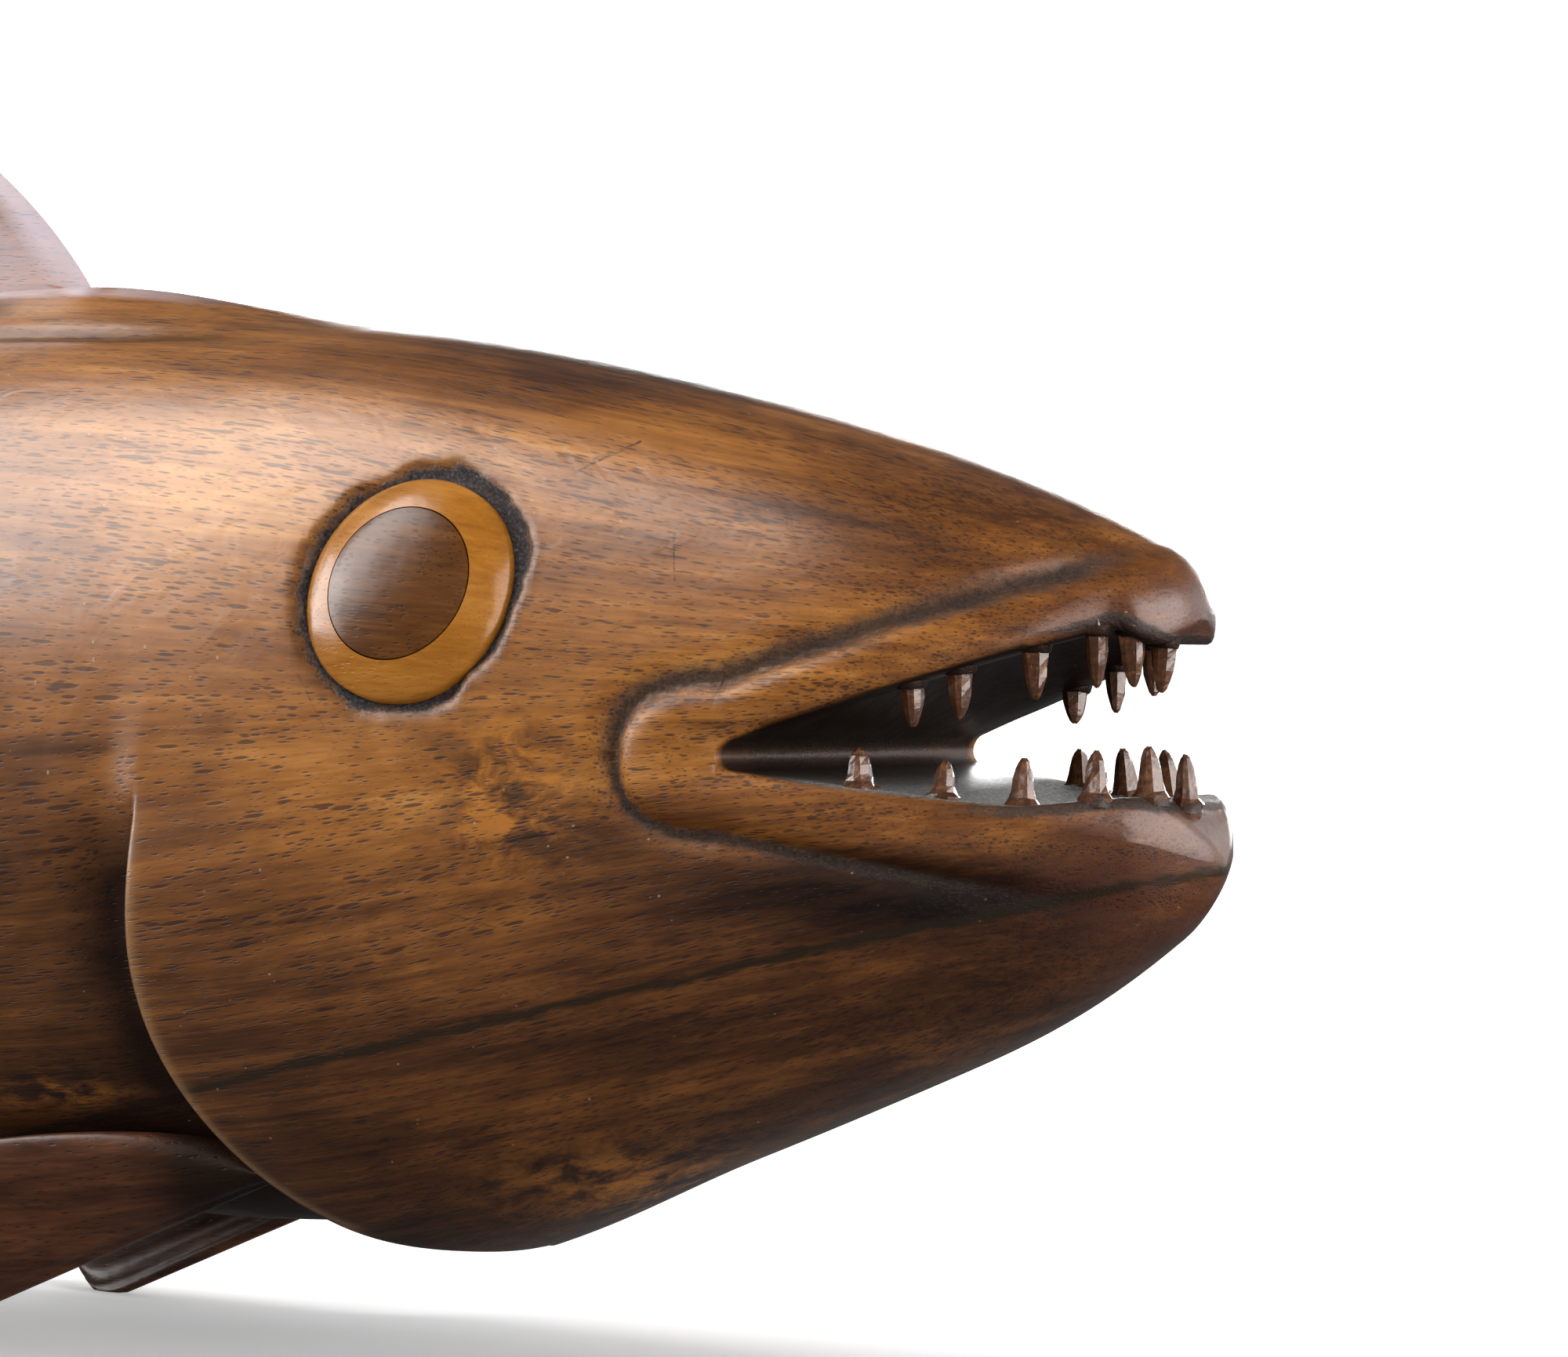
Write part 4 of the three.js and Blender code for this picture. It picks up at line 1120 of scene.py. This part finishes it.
    # painted shade: near black inside the mouth
    colour = make.mix(make.math("MULTIPLY", inMouth, 0.97), colour, (0.006, 0.003, 0.002))
    colour = make.mix(make.math("MULTIPLY", mouthFloor, 0.75), colour, dustColour)
    lipDirtAndShade = make.attribute("lipDirtAndShade").outputs["Fac"]
    lipDirtAndShade = make.between(make.math("MULTIPLY_ADD", make.math("ADD", wander, -0.5), 0.7, lipDirtAndShade), 0.3, 0.8)
    colour = make.mix(make.math("MULTIPLY", lipDirtAndShade, 0.85), colour, dirtAndShadeColour)
    creviceShadeAndDust = make.ramp(speckle, [(0.36, (0.010, 0.009, 0.009)), (0.55, (0.030, 0.028, 0.030)),
                                        (0.72, (0.11, 0.11, 0.12))])
    colour = make.mix(make.math("MULTIPLY", shadeRoundEye, 0.5), colour, (0.020, 0.011, 0.009))
    colour = make.mix(make.math("MULTIPLY", crevice, 0.93), colour, creviceShadeAndDust)
    colour = make.mix(make.math("MULTIPLY", rimLight, 0.3), colour, (0.30, 0.17, 0.075))
    colour = make.mix(shadow, colour, (0.009, 0.004, 0.003))
    specks = make.between(make.spots(make.scaled(grain, (1 / 2.3, 1 / 1.7, 1 / 1.9))), 0.085, 0.045)
    specks = make.math("MULTIPLY", specks, make.between(smears, 0.5, 0.62))
    colour = make.mix(make.math("MULTIPLY", specks, 0.45), colour, (0.30, 0.23, 0.17))
    colour = make.mix(make.attribute("paintedFinSheen").outputs["Fac"], colour, (0.50, 0.46, 0.52))

    matt = make.math("MAXIMUM", crevice, make.math("MAXIMUM", mouthFloor, groove))
    matt = make.math("MAXIMUM", matt, make.math("MULTIPLY", lipDirtAndShade, 0.7))
    roughness = make.between(smears, 0.3, 0.75, 0.34, 0.5)
    roughness = make.math("MAXIMUM", roughness, make.math("MULTIPLY", matt, 0.8))
    covered = make.math("MAXIMUM", matt, make.math("MULTIPLY", shadow, 1.1))
    covered = make.math("MAXIMUM", covered, make.math("MULTIPLY", inMouth, 0.8))
    covered = make.math("MAXIMUM", covered, make.math("MULTIPLY", shadeRoundEye, 0.7))
    pastGroove = make.attribute("pastGroove").outputs["Fac"]
    shoulder = make.math("MULTIPLY", make.between(pastGroove, -3.0, -1.6), make.between(pastGroove, 0.3, -0.8))
    covered = make.math("MAXIMUM", covered, make.math("MULTIPLY", shoulder, 0.8))
    coat = make.math("MULTIPLY", make.math("SUBTRACT", 1.0, covered, clamp=True), 0.9)

    pores = make.math("MULTIPLY", vessels, -1.0)
    normal = make.bump(pores, 0.00003)
    ripples = make.noise(make.scaled(grain, (1 / 5.5, 1 / 3.2, 1 / 3.2)), 1, 3, 0.5, 0.6)
    normal = make.bump(ripples, 0.0003, 0.3, normal)
    rough = make.math("MULTIPLY", speckle, matt)
    normal = make.bump(rough, 0.0004, 0.6, normal)
    coatNormal = make.bump(ripples, 0.0003, 0.35)
    return make.surface(colour, roughness, normal, {**varnish, "Coat Weight": coat, "Coat Normal": coatNormal})


# Plainer wood for the small pieces: layers, vessels and a varnish, from a dictionary of values
def plainWood(name, values):
    make = Recipe(name)
    grain = make.attribute("grain").outputs["Vector"]
    layers = make.noise(make.scaled(grain, values["layerSize"]), 1, 5, 0.6, 0.5)
    fine = make.noise(make.scaled(grain, values["fibreSize"]), 1, 4, 0.65)
    tone = make.math("MULTIPLY_ADD", layers, 0.62, make.math("MULTIPLY_ADD", fine, 0.4, -0.02))
    colour = make.ramp(tone, values["stops"])
    dashes = make.spots(make.scaled(grain, values["vesselSize"]))
    vessels = make.between(dashes, 0.3, 0.12)
    colour = make.mix(make.math("MULTIPLY", vessels, values["vessels"]), colour, values["vesselColour"])
    rootShade = make.attribute("rootShade").outputs["Fac"]
    colour = make.mix(make.math("MULTIPLY", rootShade, 0.85), colour, (0.006, 0.004, 0.003))
    coat = make.math("MULTIPLY", make.math("SUBTRACT", 1.0, rootShade, clamp=True), values["coat"])
    roughness = make.between(layers, 0.3, 0.7, values["rough"][0], values["rough"][1])
    normal = make.bump(make.math("ADD", fine, make.math("MULTIPLY", vessels, -0.7)), 0.0001, 0.6)
    coatNormal = make.bump(make.noise(grain, values["ripple"], 2, 0.5), 0.0003, 0.4)
    return make.surface(colour, roughness, normal,
                        {**varnish, **values.get("gloss", {}), "Coat Weight": coat,
                         "Coat Normal": coatNormal})


finWood = {
    "layerSize": (1 / 30, 1 / 2.6, 1 / 5), "fibreSize": (1 / 12, 1 / 0.5, 1 / 1), "vesselSize": (1 / 2.4, 1 / 0.5, 1 / 0.5),
    "stops": [(0.25, (0.009, 0.0035, 0.0025)), (0.5, (0.055, 0.019, 0.008)), (0.8, (0.15, 0.050, 0.015))],
    "vessels": 0.6, "vesselColour": (0.012, 0.006, 0.005), "rough": (0.3, 0.5), "ripple": 3.5, "coat": 0.5,
}
ringWood = {
    "layerSize": (1 / 14, 1 / 2.2, 1 / 6), "fibreSize": (1 / 8, 1 / 0.35, 1 / 1), "vesselSize": (1 / 1.6, 1 / 0.3, 1 / 0.3),
    "stops": [(0.2, (0.11, 0.034, 0.004)), (0.5, (0.235, 0.088, 0.010)), (0.85, (0.37, 0.165, 0.030))],
    "vessels": 0.35, "vesselColour": (0.20, 0.06, 0.012), "rough": (0.2, 0.35), "ripple": 4.0, "coat": 0.8,
    "gloss": {"Coat Roughness": 0.2, "Coat IOR": 1.3, "Specular IOR Level": 0.05},
}
pupilWood = {
    "layerSize": (1 / 10, 1 / 1.8, 1 / 4), "fibreSize": (1 / 7, 1 / 0.3, 1 / 1), "vesselSize": (1 / 1.8, 1 / 0.3, 1 / 0.3),
    "stops": [(0.2, (0.016, 0.005, 0.002)), (0.5, (0.065, 0.022, 0.004)), (0.85, (0.15, 0.055, 0.010))],
    "vessels": 0.5, "vesselColour": (0.006, 0.002, 0.001), "rough": (0.18, 0.32), "ripple": 4.0, "coat": 0.8,
    "gloss": {"Coat Roughness": 0.3, "Coat IOR": 1.3, "Specular IOR Level": 0.05},
}
toothWood = {
    "layerSize": (1 / 3, 1 / 1.2, 1 / 1.2), "fibreSize": (1 / 0.4, 1 / 2, 1 / 0.4), "vesselSize": (1 / 0.35, 1 / 1.2, 1 / 0.35),
    "stops": [(0.25, (0.010, 0.004, 0.002)), (0.5, (0.055, 0.019, 0.007)), (0.8, (0.20, 0.088, 0.032))],
    "vessels": 0.45, "vesselColour": (0.02, 0.008, 0.005), "rough": (0.3, 0.5), "ripple": 1.2, "coat": 1.0,
    "gloss": {"Coat Roughness": 0.25, "Coat IOR": 1.42},
}


def finishPiece(piece, node, material):
    piece.data.materials.clear()
    piece.data.materials.append(material)
    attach(piece, "root")
    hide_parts(node)


finishPiece(body, "body", carvedWood())
finMaterial = plainWood("finWood", finWood)
for piece, node in zip(fins, ("right_pectoral_fin", "left_pectoral_fin")):
    finishPiece(piece, node, finMaterial)
ringMaterial = plainWood("eyeRingWood", ringWood)
pupilMaterial = plainWood("pupilWood", pupilWood)
for (ring, dark), side in zip(eyes, ("right", "left")):
    finishPiece(ring, side + "_eye_ring", ringMaterial)
    finishPiece(dark, side + "_pupil", pupilMaterial)
toothMaterial = plainWood("toothWood", toothWood)
for piece in toothPieces:
    words = piece.name.replace("Tooth", "_tooth_").replace("Right", "_right").replace("Left", "_left")
    finishPiece(piece, words, toothMaterial)
print("finishes applied")

studio = {
    "world": 0.125,
    "exposure": 0.0,
    # name, place in metres, aim, size, watts, what it lights, and whether it only shows in the
    # varnish, only lights the wood, or both
    "lights": [
        ("key", (-0.68, -0.6, 0.94), (0.08, 0, 0.07), (0.7, 1.1), 24.5, "fish", "wood"),
        ("keySheen", (-0.66, -0.585, 0.917), (0.08, 0, 0.07), (0.7, 1.1), 30, "fish", "varnish"),
        ("side", (-1.15, -0.45, 0.4), (0.1, 0, 0.07), (0.8, 0.6), 8.5, "fish", "wood"),
        ("sideSheen", (-1.12, -0.44, 0.392), (0.1, 0, 0.07), (0.8, 0.6), 16, "fish", "varnish"),
        ("fill", (0.5, -1.25, 0.6), (0.12, 0, 0.05), (0.8, 0.6), 9, "fish", "wood"),
        ("tip", (1.1, -0.02, 0.22), (0.2, 0, 0.06), (0.8, 0.7), 17, "fish", "wood"),
        ("tipSheen", (1.0, -0.12, 0.22), (0.2, 0, 0.06), (1.1, 0.85), 28, "fish", "varnish"),
        ("edgeSheen", (0.85, 0.7, 0.25), (0.2, 0, 0.06), (1.0, 0.8), 6, "fish", "varnish"),
        ("rim", (-0.5, 1.05, 0.3), (0.1, 0, 0.06), (1.6, 0.3), 24, "fish", "both"),
        ("wall", (-0.3, 0.5, 1.5), (-0.75, 1.2, 0.4), (1.6, 0.4), 34, "paper", "both"),
    ],
}


# The floor runs straight back from the front and then curves up into a wall
def makeBackdrop():
    bend = 0.6
    quarter = np.linspace(0, math.pi / 2, 24)
    run = np.concatenate([[-3.0, 0.6], 0.9 + bend * np.sin(quarter), [0.9 + bend]])
    rise = np.concatenate([[0.0, 0.0], bend * (1 - np.cos(quarter)), [4.5]])
    turn = math.radians(32)
    ahead = np.array([-math.sin(turn), math.cos(turn)])
    across = np.array([math.cos(turn), math.sin(turn)])
    sides = np.array([-4.5, 4.5])
    flat = run[:, None, None] * ahead + sides[None, :, None] * across
    points = np.concatenate([flat, np.broadcast_to(rise[:, None, None], flat.shape[:2] + (1,))], -1)
    numbers = np.arange(len(run) * 2).reshape(-1, 2)
    faces = np.stack([numbers[:-1, 0], numbers[:-1, 1], numbers[1:, 1], numbers[1:, 0]], -1)
    mesh = bpy.data.meshes.new("backdrop")
    mesh.from_pydata(points.reshape(-1, 3).tolist(), [], faces.tolist())
    mesh.polygons.foreach_set("use_smooth", [True] * len(mesh.polygons))
    backdrop = bpy.data.objects.new("backdrop", mesh)
    bpy.context.scene.collection.objects.link(backdrop)
    make = Recipe("palePaper")
    cloud = make.noise(addNode(make.tree, "TexCoord").outputs["Object"], 0.8, 2, 0.5)
    tint = make.ramp(cloud, [(0.0, (0.88, 0.88, 0.88)), (1.0, (0.92, 0.92, 0.92))])
    behindPaper = addNode(make.tree, "NewGeometry").outputs["Backfacing"]
    shown = make.math("SUBTRACT", 1.0, behindPaper)
    paper = make.surface(tint, 0.8, (0, 0, 0), {"Specular IOR Level": 0.2, "Emission Strength": 0.35,
                                                "Emission Color": (1, 1, 1, 1), "Alpha": shown})
    backdrop.data.materials.append(paper)
    backdrop.visible_glossy = False


def aimed(item, place, aim):
    item.location = place
    item.rotation_euler = (Vector(aim) - Vector(place)).to_track_quat("-Z", "Y").to_euler()
    bpy.context.scene.collection.objects.link(item)
    return item


def makeStudio():
    makeBackdrop()
    lit = {"fish": bpy.data.collections.new("litFish"), "paper": bpy.data.collections.new("litPaper")}
    for piece in [body] + fins + [one for pair in eyes for one in pair] + toothPieces:
        lit["fish"].objects.link(piece)
    lit["paper"].objects.link(bpy.data.objects["backdrop"])
    for name, place, aim, size, watts, receiver, part in studio["lights"]:
        lamp = bpy.data.lights.new(name, "AREA")
        lamp.shape = "RECTANGLE"
        lamp.size, lamp.size_y = size
        lamp.energy = watts
        placed = aimed(bpy.data.objects.new(name, lamp), place, aim)
        placed.light_linking.receiver_collection = lit[receiver]
        placed.visible_glossy = part != "wood"
        placed.visible_diffuse = part != "varnish"
        placed.visible_camera = False
    world = bpy.data.worlds.new("softRoom")
    world.use_nodes = True
    world.node_tree.nodes["Background"].inputs["Color"].default_value = (1, 1, 1, 1)
    world.node_tree.nodes["Background"].inputs["Strength"].default_value = studio["world"]
    bpy.context.scene.world = world
    bpy.context.scene.view_settings.view_transform = "Standard"
    bpy.context.scene.view_settings.exposure = studio["exposure"]


makeStudio()

camera = {"target": (0.1675, 0, 0.0657), "away": 0.56, "turn": 32, "lens": 133.06}
turn = math.radians(camera["turn"])
lens = bpy.data.cameras.new("photoCamera")
lens.lens = camera["lens"]
lens.sensor_width = 36
lens.clip_start = 0.01
photoCamera = bpy.data.objects.new("photoCamera", lens)
aimed(photoCamera, (camera["target"][0] + camera["away"] * math.sin(turn),
                    -camera["away"] * math.cos(turn), camera["target"][2]), camera["target"])
bpy.context.scene.camera = photoCamera
print("studio ready")
